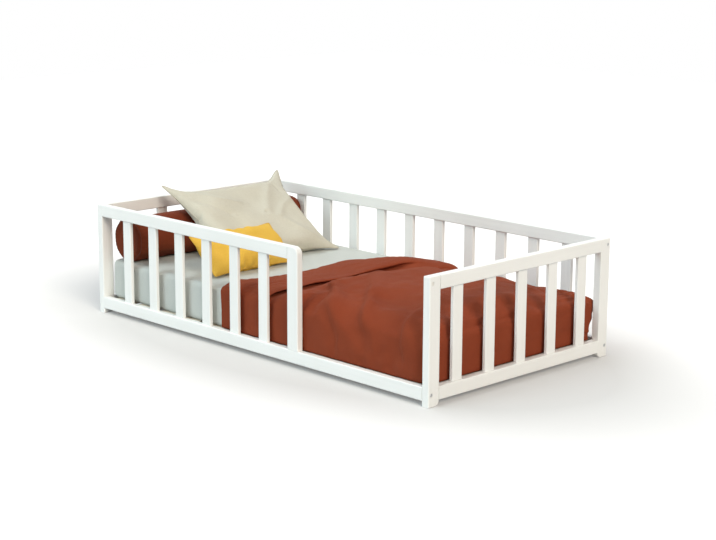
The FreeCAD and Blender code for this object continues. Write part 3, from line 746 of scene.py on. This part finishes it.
def bolster_size(around, reach, y, radius, half):
    """How far each point is from the axis, with ripples, puckered ends, a pressed dent and a raised rim."""
    unit = np.column_stack([np.sin(around), y, np.cos(around)])
    ripples = BOLSTER_SLACK * waves(unit * (1.0, 5.0, 1.0) * 0.1, 0.075, 11)
    ripples *= eased(reach, 0.5 * radius, radius)
    puckers, pucker_height = BOLSTER_PUCKERS
    pucker = pucker_height * np.sin(around * puckers + 1.5 * waves(unit * 0.1, 0.1, 12))
    pucker *= bell(np.abs(y) - half + 0.02, 0.016)
    dent = BOLSTER_DENT * bell(around - 1.0, 0.55) * eased(np.abs(y - 0.06), 0.30, 0.18)
    rim = bell(np.abs(y) - (half - BOLSTER_RIM), 0.003) * (reach > 0.8 * radius)
    size = reach + (ripples + pucker - BOLSTER_SLACK - dent) * (reach > 0.5 * radius) + 0.0014 * rim
    return np.minimum(size, radius)


def bolster():
    """The roll: a stuffed tube with a seam round each rim. Returns its axis and its radius."""
    low, high = corners("bolster")
    centre = (low + high) / 2
    radius, half = (high[2] - low[2]) / 2, (high[1] - low[1]) / 2
    profile = bolster_profile(radius, half)
    count = len(profile)
    run = run_along(profile)
    turns = np.arange(BOLSTER_TURNS) * 2 * math.pi / BOLSTER_TURNS
    around, along = [grid.ravel() for grid in np.meshgrid(turns, np.arange(count), indexing="ij")]
    reach, y = profile[along, 0], profile[along, 1]
    size = bolster_size(around, reach, y, radius, half)
    points = centre + np.column_stack([size * np.sin(around), y, size * np.cos(around)])
    hubs = [centre + (0, half - BOLSTER_DISH, 0), centre - (0, half - BOLSTER_DISH, 0)]
    points = np.vstack([points, *hubs])
    hub = BOLSTER_TURNS * count
    faces = []
    for i in range(BOLSTER_TURNS):
        here, there = i * count, (i + 1) % BOLSTER_TURNS * count
        faces += [[here + j, there + j, there + j + 1, here + j + 1] for j in range(count - 1)]
    for i in range(BOLSTER_TURNS):
        here, there = i * count, (i + 1) % BOLSTER_TURNS * count
        faces.append([there, here, hub])
        faces.append([here + count - 1, there + count - 1, hub + 1])
    cloth = np.vstack([np.column_stack([around * radius, run[along]]), [(0, 0), (0, run[-1])]])
    obj = mesh_object("bolster_roll", points, faces, cloth)
    piece(obj, "bolster", BOLSTER_COTTON, ["bolster"], 1)
    ring = np.argmin(np.abs(profile[:, 1] - (half - BOLSTER_RIM)) + (profile[:, 0] < 0.8 * radius))
    for end_name, place in (("back", ring), ("front", count - 1 - ring)):
        welt("bolster_rim_seam_" + end_name, points[place:hub:count], BOLSTER_SEAM, "bolster",
             BOLSTER_THREAD)
    return centre, radius


# ---- pillows ----
# An ear is a corner, as its sides on X and Y, and how far it is drawn out along X and Y.
# A fold is its line on the flat front (up is -X, the back of the bed is +Y), its width and its rise.
PILLOW_SIZE = (0.394, 0.488, 0.084)
PILLOW_LEAN = 34.5
PILLOW_YAW = 3.0
PILLOW_EARS = [(-1, -1, 0.047, 0.014), (-1, 1, 0.052, 0.027), (1, -1, 0.010, 0.010), (1, 1, 0.014, 0.030)]
PILLOW_FOLDS = [
    ([(-0.200, 0.178), (-0.150, 0.196), (-0.095, 0.196)], 0.008, -0.006),
    ([(-0.175, 0.175), (-0.090, 0.110), (0.010, 0.050)], 0.020, 0.006),
    ([(-0.060, 0.225), (-0.020, 0.150), (0.050, 0.080)], 0.015, 0.004),
    ([(-0.185, -0.215), (-0.110, -0.120), (-0.060, -0.020)], 0.016, 0.005),
    ([(-0.140, -0.220), (-0.050, -0.140), (0.000, -0.090)], 0.014, -0.004),
    ([(0.180, 0.215), (0.110, 0.140), (0.050, 0.100)], 0.015, 0.005),
    ([(0.185, -0.200), (0.100, -0.130)], 0.015, 0.004),
]
PILLOW_OFF_ROLL = 0.0006
PILLOW_SEAM = 0.0013
CUSHION_SIZE = (0.165, 0.330, 0.090)
CUSHION_LEAN = 41.0
CUSHION_EARS = [(-1, -1, 0.004, 0.004), (-1, 1, 0.003, 0.003), (1, -1, 0.003, 0.003), (1, 1, 0.003, 0.003)]
CUSHION_SEAM = 0.0012
PILLOW_PRESSURE = 4.0
PILLOW_LUMPS = (0.0035, 0.16)  # how high a pillow's lumps are, and how far apart
EAR_SPREAD = 0.036
EAR_FLATNESS = 0.45
FLAT_PILLOW = (0.001, 0.004)   # how far each layer stands off the middle before it is filled: edge and dome


def pillow_grid(width, height, step):
    """Two flat fabric layers sewn along their edge: places, quads and whether each place is on the seam."""
    across, up = round(height / step), round(width / step)
    index, places, faces = {}, [], []
    for side in (1, -1):
        for i in range(across + 1):
            for j in range(up + 1):
                seam = i in (0, across) or j in (0, up)
                key = (i, j, 0 if seam else side)
                if key not in index:
                    index[key] = len(places)
                    dome = math.sin(math.pi * i / across) * math.sin(math.pi * j / up)
                    off = 0 if seam else side * (FLAT_PILLOW[0] + FLAT_PILLOW[1] * dome)
                    places.append((height * (i / across - 0.5), width * (j / up - 0.5), off))
        for i in range(across):
            for j in range(up):
                quad = [index.get((a, b, side), index.get((a, b, 0)))
                        for a, b in ((i, j), (i + 1, j), (i + 1, j + 1), (i, j + 1))]
                faces.append(quad if side > 0 else quad[::-1])
    seam = np.array([key[2] == 0 for key in index])
    return np.array(places), faces, seam


def centred(points):
    return points - (points.max(axis=0) + points.min(axis=0)) / 2


def squared(points, u, v, share):
    """Straightens the pulled-in edges of a flat pillow by a share of what is missing."""
    squarer = points.copy()
    for axis, along, across in ((0, v, u), (1, u, v)):
        on_edge = across > 0.999
        order = np.argsort(along[on_edge])
        edge = np.interp(along, along[on_edge][order], points[on_edge, axis][order])
        squarer[:, axis] *= 1 + share * (points[on_edge, axis].max() / edge - 1)
    return squarer


def pillow_shape(size, spare, frames, ears, bottom_weight, seed, square=0.0, sag=(0, 0), folds=()):
    """A filled pillow lying flat. Returns its points, quads, places on the flat fabric and seam.

    size is (height along X, width along Y, thickness), and spare is the share by which its fabric is larger.
    square is how straight its edges are pulled, and sag how far its top edge and its sides fall in.
    """
    height, width, thickness = size
    flat, faces, seam = pillow_grid(width * (1 + spare), height * (1 + spare), FABRIC_GRID)
    points = simulated(flat, faces, np.zeros(len(flat)), PILLOW_PRESSURE, frames=frames)
    plan = flat[:, :2]
    u, v = plan[:, 0] / (height * (1 + spare)) * 2, plan[:, 1] / (width * (1 + spare)) * 2
    points = squared(centred(points), u, v, square)
    points[:, 0] += sag[0] * (1 - v ** 2) * eased(u, 0.1, -1.0)
    points[:, 1] -= sag[1] * (1 - u ** 2) * eased(np.abs(v), 0.2, 1.0) * np.sign(v)
    front = eased(flat[:, 2], 0.0, 0.0012)
    points[:, 2] += front * fold_moves(plan, folds, 0.02)
    points[:, 2] *= 1 + bottom_weight * u
    body = eased(np.minimum(1 - np.abs(u), 1 - np.abs(v)), 0.0, 0.3)
    points[:, 2] += body * PILLOW_LUMPS[0] * waves(plan, PILLOW_LUMPS[1], seed) * np.sign(flat[:, 2])
    for corner_u, corner_v, reach_x, reach_y in ears:
        near = bell(np.hypot((u - corner_u) * height, (v - corner_v) * width) / 2, EAR_SPREAD)
        points[:, 0] += corner_u * reach_x * near
        points[:, 1] += corner_v * reach_y * near
        points[:, 2] *= 1 - EAR_FLATNESS * near
    points *= np.array(size) / np.ptp(points, axis=0)
    return centred(points), faces, plan, seam


def leaning(points, node, lean, yaw):
    """Leans flat points back towards the head, turns them and centres them on a node."""
    low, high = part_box(node)
    turn = Matrix.Rotation(-math.radians(yaw), 3, "Z") @ Matrix.Rotation(math.radians(lean), 3, "Y")
    return centred(points @ np.array(turn).T) + np.array((low + high) / 2)


def off_roll(points, centre, radius):
    """Pushes points out of the bolster."""
    away = points[:, [0, 2]] - centre[[0, 2]]
    pushed = points.copy()
    pushed[:, [0, 2]] = centre[[0, 2]] + away * np.maximum(1, (radius + PILLOW_OFF_ROLL) / lengths(away))
    return pushed


def pillow_case(name, node, points, faces, flat, seam, material, thread, slot, seam_radius):
    """Makes a case that stays above its node's lowest point, and the seam round its edge."""
    points[:, 2] = np.maximum(points[:, 2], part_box(node)[0].z)
    obj = mesh_object(name, points, faces, flat)
    piece(obj, node, material, [node], 1)
    welt(node + "_edge_seam", smoothed_loop(seam_loop(points, flat, seam)), seam_radius, node, thread)
    return obj


def pillow(roll_centre, roll_radius):
    """The linen pillow, its far top corner pulled up to a tall ear."""
    points, *fabric_map = pillow_shape(PILLOW_SIZE, spare=0.072, frames=15, ears=PILLOW_EARS,
                                       bottom_weight=0.10, seed=21, sag=(0.011, 0.014), folds=PILLOW_FOLDS)
    points = off_roll(leaning(points, "pillow", PILLOW_LEAN, PILLOW_YAW), roll_centre, roll_radius)
    obj = pillow_case("pillow_linen_case", "pillow", points, *fabric_map, PILLOW_LINEN, LINEN_THREAD,
                      "pillow_linen", PILLOW_SEAM)


def small_cushion():
    """The small mustard cushion."""
    points, *fabric_map = pillow_shape(CUSHION_SIZE, spare=0.10, frames=18, ears=CUSHION_EARS,
                                       bottom_weight=0.06, seed=31, square=0.75)
    points = leaning(points, "small_cushion", CUSHION_LEAN, 0.0)
    obj = pillow_case("small_cushion_case", "small_cushion", points, *fabric_map, CUSHION_COTTON,
                      MUSTARD_THREAD, "cushion_cotton", CUSHION_SEAM)


# ---- duvet ----
DUVET_CROWN = 0.236            # the height of its middle
DUVET_ARCH = 0.09              # the share of its height that it loses towards the foot
DUVET_SIDE = 0.155             # the length of fabric from its shoulder to its tuck
DUVET_CURL = (0.014, 0.005)    # how far it curls in towards its tuck, at the foot and at the sides
DUVET_FOOT = 0.150             # the stretch over which it rounds off towards the foot
DUVET_SHOULDER_POWER = (8, 16)      # how square its shoulders are, at the open side and at the back
DUVET_BLEND = 0.012            # how softly its outside merges into its least thickness
# Its least thickness as shares, at the foot, at the sides and on top, and what the last loses at the back.
DUVET_LEAST = (0.03, 0.022, 0.20, 0.14)
DUVET_OFF_SHEET = 0.0035
DUVET_PROUD = 0.006            # how far it stands out over the bottom rail of the open side
DUVET_SLACK = 0.007            # how far the simulation may move it
DUVET_INSET = 0.0004           # what it keeps off the sides of its own box
LINING_GAP = 0.0012            # between the sheet and its lining
BLOCK_ROUND = 0.018            # the rounding of the block round the mattress that it stays out of
FAR_SLOPE = 0.06               # how much further in its back shoulder starts to slope
FAR_HUMP = (0.17, 0.09, 0.05)  # the hump on its back half by the cuff: its X, its width and its share
FAR_DROP = 0.115               # the share of its height that its back half loses beyond the hump
FOOT_SLATS = 5
SLAT_PRESS = (0.006, 0.024)    # how deep and how wide the foot slats dent it
CRUMPLE_PLACE = (0.68, 0.34, 0.08)      # the crumpled far corner's X, Y and width
CRUMPLE_SIZE = (0.0085, 0.034)      # how high its crumples are, and how far apart
DUVET_FOLDS = [
    ([(0.18, -0.20), (0.20, -0.25), (0.25, -0.31), (0.34, -0.41), (0.46, -0.51)], 0.028, 0.017),
    ([(0.215, -0.075), (0.28, -0.125), (0.356, -0.22), (0.40, -0.32), (0.48, -0.44)], 0.029, 0.020),
    ([(0.28, 0.08), (0.42, -0.04), (0.55, -0.18), (0.60, -0.33), (0.64, -0.47)], 0.034, 0.018),
    ([(0.34, 0.22), (0.48, 0.10), (0.62, -0.06), (0.68, -0.14)], 0.036, 0.009),
    ([(0.18, 0.30), (0.36, 0.26), (0.56, 0.28)], 0.036, 0.008),
    ([(0.145, -0.19), (0.15, -0.24), (0.155, -0.30)], 0.026, 0.007),
]
CUFF_DIP = 0.18                # the share of its height that the near half of its turned-back cuff loses
CUFF_FAR_RISE = 0.03           # and that the far half gains
CUFF_SLANT = 0.09              # how much nearer the foot the cuff's head edge is at the back
CUFF_UNDER = 0.040             # how far its other edge draws towards the head down the sides
CUFF_RUFFLE = 0.003            # how far both its edges waver
CUFF_END = 0.25                # X from which the rest of the duvet's columns are counted out
CUFF_EDGE_Y = (-0.36, -0.27, -0.19, -0.07, 0.02, 0.10, 0.20, 0.36)
CUFF_EDGE_X = (0.060, 0.085, 0.075, 0.115, 0.140, 0.185, 0.250, 0.275)
# The cuff's section: distance from the head edge as a share of its width, and height as a share of all.
# It stands open over the body towards the open side of the bed, and lies shut on it further back.
CUFF_OPEN = [(0.0, 0.0), (-0.015, 0.16), (0.0, 0.34), (0.06, 0.50), (0.2, 0.64), (0.4, 0.80), (0.62, 0.93),
             (0.82, 1.0), (0.94, 1.0), (1.0, 0.92), (0.99, 0.80), (0.94, 0.71), (0.86, 0.64),
             (0.93, 0.57), (1.0, 0.58), (1.06, 0.67), (1.15, 0.79), (1.35, 0.92), (1.8, 1.0)]
CUFF_SHUT = [(0.0, 0.0), (-0.015, 0.16), (0.0, 0.34), (0.06, 0.43), (0.2, 0.55), (0.4, 0.74), (0.62, 0.91),
             (0.82, 0.985), (0.93, 0.985), (0.98, 0.94), (0.99, 0.89), (0.985, 0.84), (0.98, 0.80),
             (0.985, 0.79), (1.0, 0.81), (1.05, 0.86), (1.14, 0.90), (1.3, 0.94), (1.6, 0.98)]
CUFF_OPEN_ENDS = (0.28, 0.02)  # Y where it is shut and where it is open
# Columns of the cuff, counted from its head edge.
CUFF_COLUMNS = 64
CUFF_EDGE_COLUMNS = 4          # up to here it may lie against the sheet
CUFF_TOP_COLUMN = 24           # up to here it is fuller at the open side
CUFF_FIRM_COLUMN = 29          # from here on it keeps its shape in the simulation
CUFF_HEM_COLUMN = 30
CUFF_FOLDS_COLUMN = 44         # from here on the folds have their full height
CUFF_LOOSE_COLUMN = 58         # from here on only the tuck is held in the simulation
STITCH_LENGTH = 0.0035
STITCH_RADIUS = 0.0006
STITCH_LIFT = 0.0003


def duvet():
    """A puffy cover, its head end turned back into a cuff and its other edges tucked down in the frame."""
    low, high = corners("duvet")
    across_count = round((high[1] - low[1]) / BODY_GRID)
    depth_count = round((DUVET_CROWN - low[2]) / BODY_GRID)
    body_columns = round((high[0] - CUFF_END) / BODY_GRID)
    last_column = CUFF_COLUMNS - 1 + body_columns
    places, faces = lattice((last_column, across_count, depth_count),
                            [(2, True), (1, False), (1, True), (0, True)])
    column = places[:, 0]
    y = low[1] + places[:, 1] / across_count * (high[1] - low[1])
    depth = 1 - places[:, 2] / depth_count
    beyond = np.maximum(0, column - CUFF_COLUMNS + 1) / body_columns
    x, height = duvet_cuff(column, y, depth, low, high)
    x = x + (high[0] - x) * beyond
    height = height + (1 - height) * (beyond > 0)
    lining, outer = duvet_skins(x, y, depth, low, high)
    points = duvet_folds(lining + (outer - lining) * height[:, None], faces, x, y, column, depth)

    # The tuck and the head edge are held, the cuff loosely, its tuck too, and its firm columns fully.
    pins = np.where((places[:, 2] == 0) | (column == 0), 1.0, 0.0)
    pins[(column > 0) & (column < CUFF_LOOSE_COLUMN)] = 0.5
    firm = (column >= CUFF_FIRM_COLUMN) & (column < CUFF_LOOSE_COLUMN)
    pins[firm] = 1
    settled = simulated(points, faces, pins, 3.0, growth=0.035, frames=16, stiffness=12.0, bending=0.4)
    settled = capped(points, settled, np.where(firm, 0.0005, DUVET_SLACK)[:, None])
    inner = column > CUFF_EDGE_COLUMNS
    settled[inner] = off_block(settled[inner], corners("fitted_sheet")[1] + DUVET_OFF_SHEET)
    points = within_duvet(settled, low, high)
    flat = np.column_stack([x + np.where(column == last_column, depth * DUVET_SIDE, 0),
                            y + np.sign(y) * depth * DUVET_SIDE])
    build_duvet(points, lining, faces, flat)
    # From the tuck on the open side up, over the top and down to the other tuck.
    order = np.lexsort((places[:, 2] * np.sign(places[:, 1] - across_count / 2), places[:, 1]))
    duvet_hem(points, faces, [index for index in order if column[index] == CUFF_HEM_COLUMN])


def duvet_cuff(column, y, depth, low, high):
    """Each point's X in the cuff, and its height as a share of the way from the lining to the outside."""
    opened, shut = spline(CUFF_OPEN, CUFF_COLUMNS), spline(CUFF_SHUT, CUFF_COLUMNS)
    slant = (y - low[1]) / (high[1] - low[1])
    ruffle = np.column_stack([y, depth * 0.15])
    head = low[0] + CUFF_SLANT * slant + CUFF_RUFFLE * waves(ruffle, 0.2, 41)
    edge = np.interp(y, CUFF_EDGE_Y, CUFF_EDGE_X) - CUFF_UNDER * depth
    edge += CUFF_RUFFLE * waves(ruffle, 0.07, 42)
    in_cuff = np.minimum(column, CUFF_COLUMNS - 1)
    open_share = eased(y, *CUFF_OPEN_ENDS)[:, None]
    reach, height = (opened[in_cuff] * open_share + shut[in_cuff] * (1 - open_share)).T
    near_end = bell(y - low[1], 0.10) * eased(depth, 0.35, 0.1) * (column < CUFF_TOP_COLUMN)
    height = np.maximum(height, 0) ** (1 + 1.5 * eased(depth, 0.15, 0.5) - 0.65 * near_end)
    return head + reach * (edge - head), height


def duvet_rise(x, y, low, high):
    """How high the crown stands over the tuck."""
    cuff, far = eased(x, 0.24, 0.04), eased(y, -0.10, 0.10)
    rise = (DUVET_CROWN - low[2]) * (1 - DUVET_ARCH * eased(x, 0.30, high[0]))
    rise = rise * (1 - CUFF_DIP * cuff * eased(y, 0.16, -0.10) + CUFF_FAR_RISE * cuff * far)
    place, width, share = FAR_HUMP
    hump = share * bell(x - place, width) * eased(y, 0.02, 0.14)
    return rise * (1 + hump - FAR_DROP * eased(x, 0.23, 0.36) * eased(y, 0.0, 0.22))


def duvet_skins(x, y, depth, low, high):
    """The lining on the sheet and the outside over it.

    Both are placed along rays from the middle of the bed at the tuck. A ray's shares are of the way to the
    foot (only near it), to the side and to the crown.
    """
    block_low, block_high = corners("fitted_sheet")
    start, half = high[0] - DUVET_FOOT, high[1]
    rise, far = duvet_rise(x, y, low, high), eased(y, -0.10, 0.10)
    shares = np.column_stack([np.maximum(0, x - start) / DUVET_FOOT, np.abs(y) / half, 1 - depth])

    def placed(reach):
        along = np.where(shares[:, 0] > 0, start + shares[:, 0] * reach * DUVET_FOOT, x)
        return np.column_stack([along, y * reach, low[2] + shares[:, 2] * reach * rise])

    block = np.column_stack([np.full(len(x), (block_high[0] - start) / DUVET_FOOT),
                             np.full(len(x), block_high[1] / half), (block_high[2] - low[2]) / rise])
    to_block = 1 / np.max(shares / block, axis=1)
    # The lining's block reaches on towards the head and as far below the tuck as above it.
    lining_low = np.array([-2.0, block_low[1] - LINING_GAP, 2 * low[2] - block_high[2]])
    lining = rounded_block(placed(to_block * (1 + LINING_GAP / half)), lining_low,
                           block_high + LINING_GAP, MATTRESS_CORNER, MATTRESS_RIM)

    sloped = shares[:, 1] * (1 + FAR_SLOPE * far * shares[:, 2])
    plan_part = np.sqrt(shares[:, 0] ** 8 + sloped ** 8)
    up_part = shares[:, 2] ** 2
    to_outside = np.sqrt(2 / (up_part + np.sqrt(up_part ** 2 + 4 * plan_part)))
    near_power, far_power = DUVET_SHOULDER_POWER
    power = near_power + (far_power - near_power) * far
    foot_least, side_least, top_least, back_loss = DUVET_LEAST
    least = block + np.column_stack([np.full_like(far, foot_least), np.full_like(far, side_least),
                                     top_least - back_loss * far])
    to_least = np.sum((shares / least) ** power[:, None], axis=1) ** (-1 / power)
    short = np.clip((to_least - to_outside) / DUVET_BLEND, -30, 30)
    outer = placed(to_outside + DUVET_BLEND * np.log1p(np.exp(short)))
    curl = eased(depth, 0.50, 0.82)
    outer[:, 0] -= DUVET_CURL[0] * curl * shares[:, 0] ** 4
    outer[:, 1] -= DUVET_CURL[1] * curl * shares[:, 1] ** 4 * np.sign(y)
    return lining, outer


def duvet_folds(points, faces, x, y, column, depth):
    """Lifts the outside in broad soft folds, and crumples it at the foot's far corner.

    The folds fan from the cuff's edge towards the open side. The foot slats dent it, and it stands proud of
    the bottom rail where the side is open.
    """
    plan = np.column_stack([x, y + np.sign(y) * depth * DUVET_SIDE])
    lift = fold_moves(plan, DUVET_FOLDS, 0.05, 0.6)
    lift += 0.0030 * waves(plan * (1.0, 0.7), 0.15, 43) + 0.0012 * waves(plan, 0.06, 44)
    for number in range(1, FOOT_SLATS + 1):
        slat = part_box(f"foot_slat_{number}")
        on_slat = bell(points[:, 1] - (slat[0][1] + slat[1][1]) / 2, SLAT_PRESS[1])
        lift -= SLAT_PRESS[0] * on_slat * eased(points[:, 0], 0.665, 0.685) * eased(depth, 0.05, 0.3)
    corner_x, corner_y, width = CRUMPLE_PLACE
    far_corner = bell(np.hypot(points[:, 0] - corner_x, points[:, 1] - corner_y), width)
    lift += CRUMPLE_SIZE[0] * far_corner * (waves(points, CRUMPLE_SIZE[1], 45) - 0.5)
    lift += DUVET_PROUD * eased(depth, 0.25, 0.6) * (points[:, 1] < 0) * eased(points[:, 0], 0.22, 0.32)
    lift *= np.where(column >= CUFF_FOLDS_COLUMN, 1.0, 0.4) * eased(depth, 1.0, 0.8)
    return points + normals(points, faces) * lift[:, None]


def off_block(points, corner):
    """Pushes points out of a rounded block round the mattress that reaches to a corner."""
    low = np.array([-2.0, -corner[1], -1.0]) + BLOCK_ROUND
    inner = np.clip(points, low, corner - BLOCK_ROUND)
    off = points - inner
    return inner + off * np.maximum(1, BLOCK_ROUND / lengths(off))


def within_duvet(points, low, high):
    """Keeps the duvet inside its own box, but a little proud over the open side's bottom rail."""
    x, y, z = points.T
    open_side = eased(x, 0.235, 0.30) * eased(x, 0.69, 0.63) * eased(z, 0.056, 0.085) * (y < 0)
    limit = high[1] - DUVET_INSET + DUVET_PROUD * open_side
    return np.column_stack([softly_limited(x, high[0] - DUVET_INSET, 0.004),
                            np.sign(y) * softly_limited(np.abs(y), limit, 0.004),
                            np.clip(z, low[2] + 0.0006, high[2] + 0.004)])


def build_duvet(outer, lining, faces, flat):
    """Joins the outer fabric to a lining that lies on the mattress."""
    count = len(outer)
    all_faces = list(faces) + [[index + count for index in face[::-1]] for face in faces]
    edges = dict.fromkeys((a, b) for face in faces for a, b in zip(face, face[1:] + face[:1]))
    all_faces += [[b, a, a + count, b + count] for a, b in edges if (b, a) not in edges]
    obj = mesh_object("duvet_cover", np.vstack([outer, lining]), all_faces, np.vstack([flat, flat]))
    piece(obj, "duvet", DUVET_COTTON, ["duvet"], 1)


def duvet_hem(points, faces, hem):
    """Stitches along the cuff through the given points."""
    outward = normals(points, faces)[hem]
    line = points[hem]
    run = run_along(line)
    places = np.arange(0, run[-1], STITCH_LENGTH)
    line, outward = [at_places(rows, run, places) for rows in (line + STITCH_LIFT * outward, outward)]
    stitches("duvet_hem_stitching", line, outward, STITCH_RADIUS, "duvet", DUVET_THREAD)


# ---- studio ----
def studio():
    """A white floor, with painted shade round the bed, a white world, and the lamps.

    The key light is overhead, with a weak one behind, a cooler one in front and a warmer one from the foot.
    """
    half = FLOOR_SPAN / 2
    floor = mesh_object("studio_floor",
                        [(-half, -half, 0), (half, -half, 0), (half, half, 0), (-half, half, 0)],
                        [(0, 1, 2, 3)])
    floor.data.materials.append(floor_material())
    world = bpy.data.worlds.new("studio")
    bpy.context.scene.world = world
    world.use_nodes = True
    nodes = Nodes(world.node_tree)
    background = world.node_tree.nodes["Background"]
    background.inputs["Color"].default_value = (1, 1, 1, 1)
    nodes.put(background.inputs["Strength"], nodes.ranged(nodes.seen(), 0.0, 1.0, WORLD_LIGHT, 1.0))
    for lamp in LAMPS:
        sun(*lamp)


def sun(name, place, strength, softness, colour):
    light = bpy.data.lights.new(name, "SUN")
    light.energy = strength
    light.angle = math.radians(softness)
    light.color = colour
    obj = bpy.data.objects.new(name, light)
    obj.location = place
    obj.rotation_mode = "QUATERNION"
    obj.rotation_quaternion = (-Vector(place)).to_track_quat("-Z", "Y")
    bpy.context.scene.collection.objects.link(obj)


def camera():
    """The photograph's view."""
    azimuth, pitch, roll = [math.radians(a) for a in (CAMERA_AZIMUTH, CAMERA_PITCH, CAMERA_ROLL)]
    forward = Vector((-math.sin(azimuth) * math.cos(pitch), math.cos(azimuth) * math.cos(pitch),
                      -math.sin(pitch)))
    level_right = forward.cross(Vector((0, 0, 1))).normalized()
    level_up = level_right.cross(forward)
    right = level_right * math.cos(roll) + level_up * math.sin(roll)
    up = level_up * math.cos(roll) - level_right * math.sin(roll)
    data = bpy.data.cameras.new("camera")
    data.lens = CAMERA_LENS
    data.sensor_width = CAMERA_SENSOR
    obj = bpy.data.objects.new("camera", data)
    turn = Matrix((right, up, -forward)).transposed().to_4x4()
    obj.matrix_world = Matrix.Translation(CAMERA_PLACE) @ turn
    bpy.context.scene.collection.objects.link(obj)
    bpy.context.scene.camera = obj


finish_frame()
mattress()
fitted_sheet()
roll_centre, roll_radius = bolster()
pillow(roll_centre, roll_radius)
small_cushion()
duvet()
studio()
camera()
bpy.context.scene.view_settings.view_transform = "Standard"
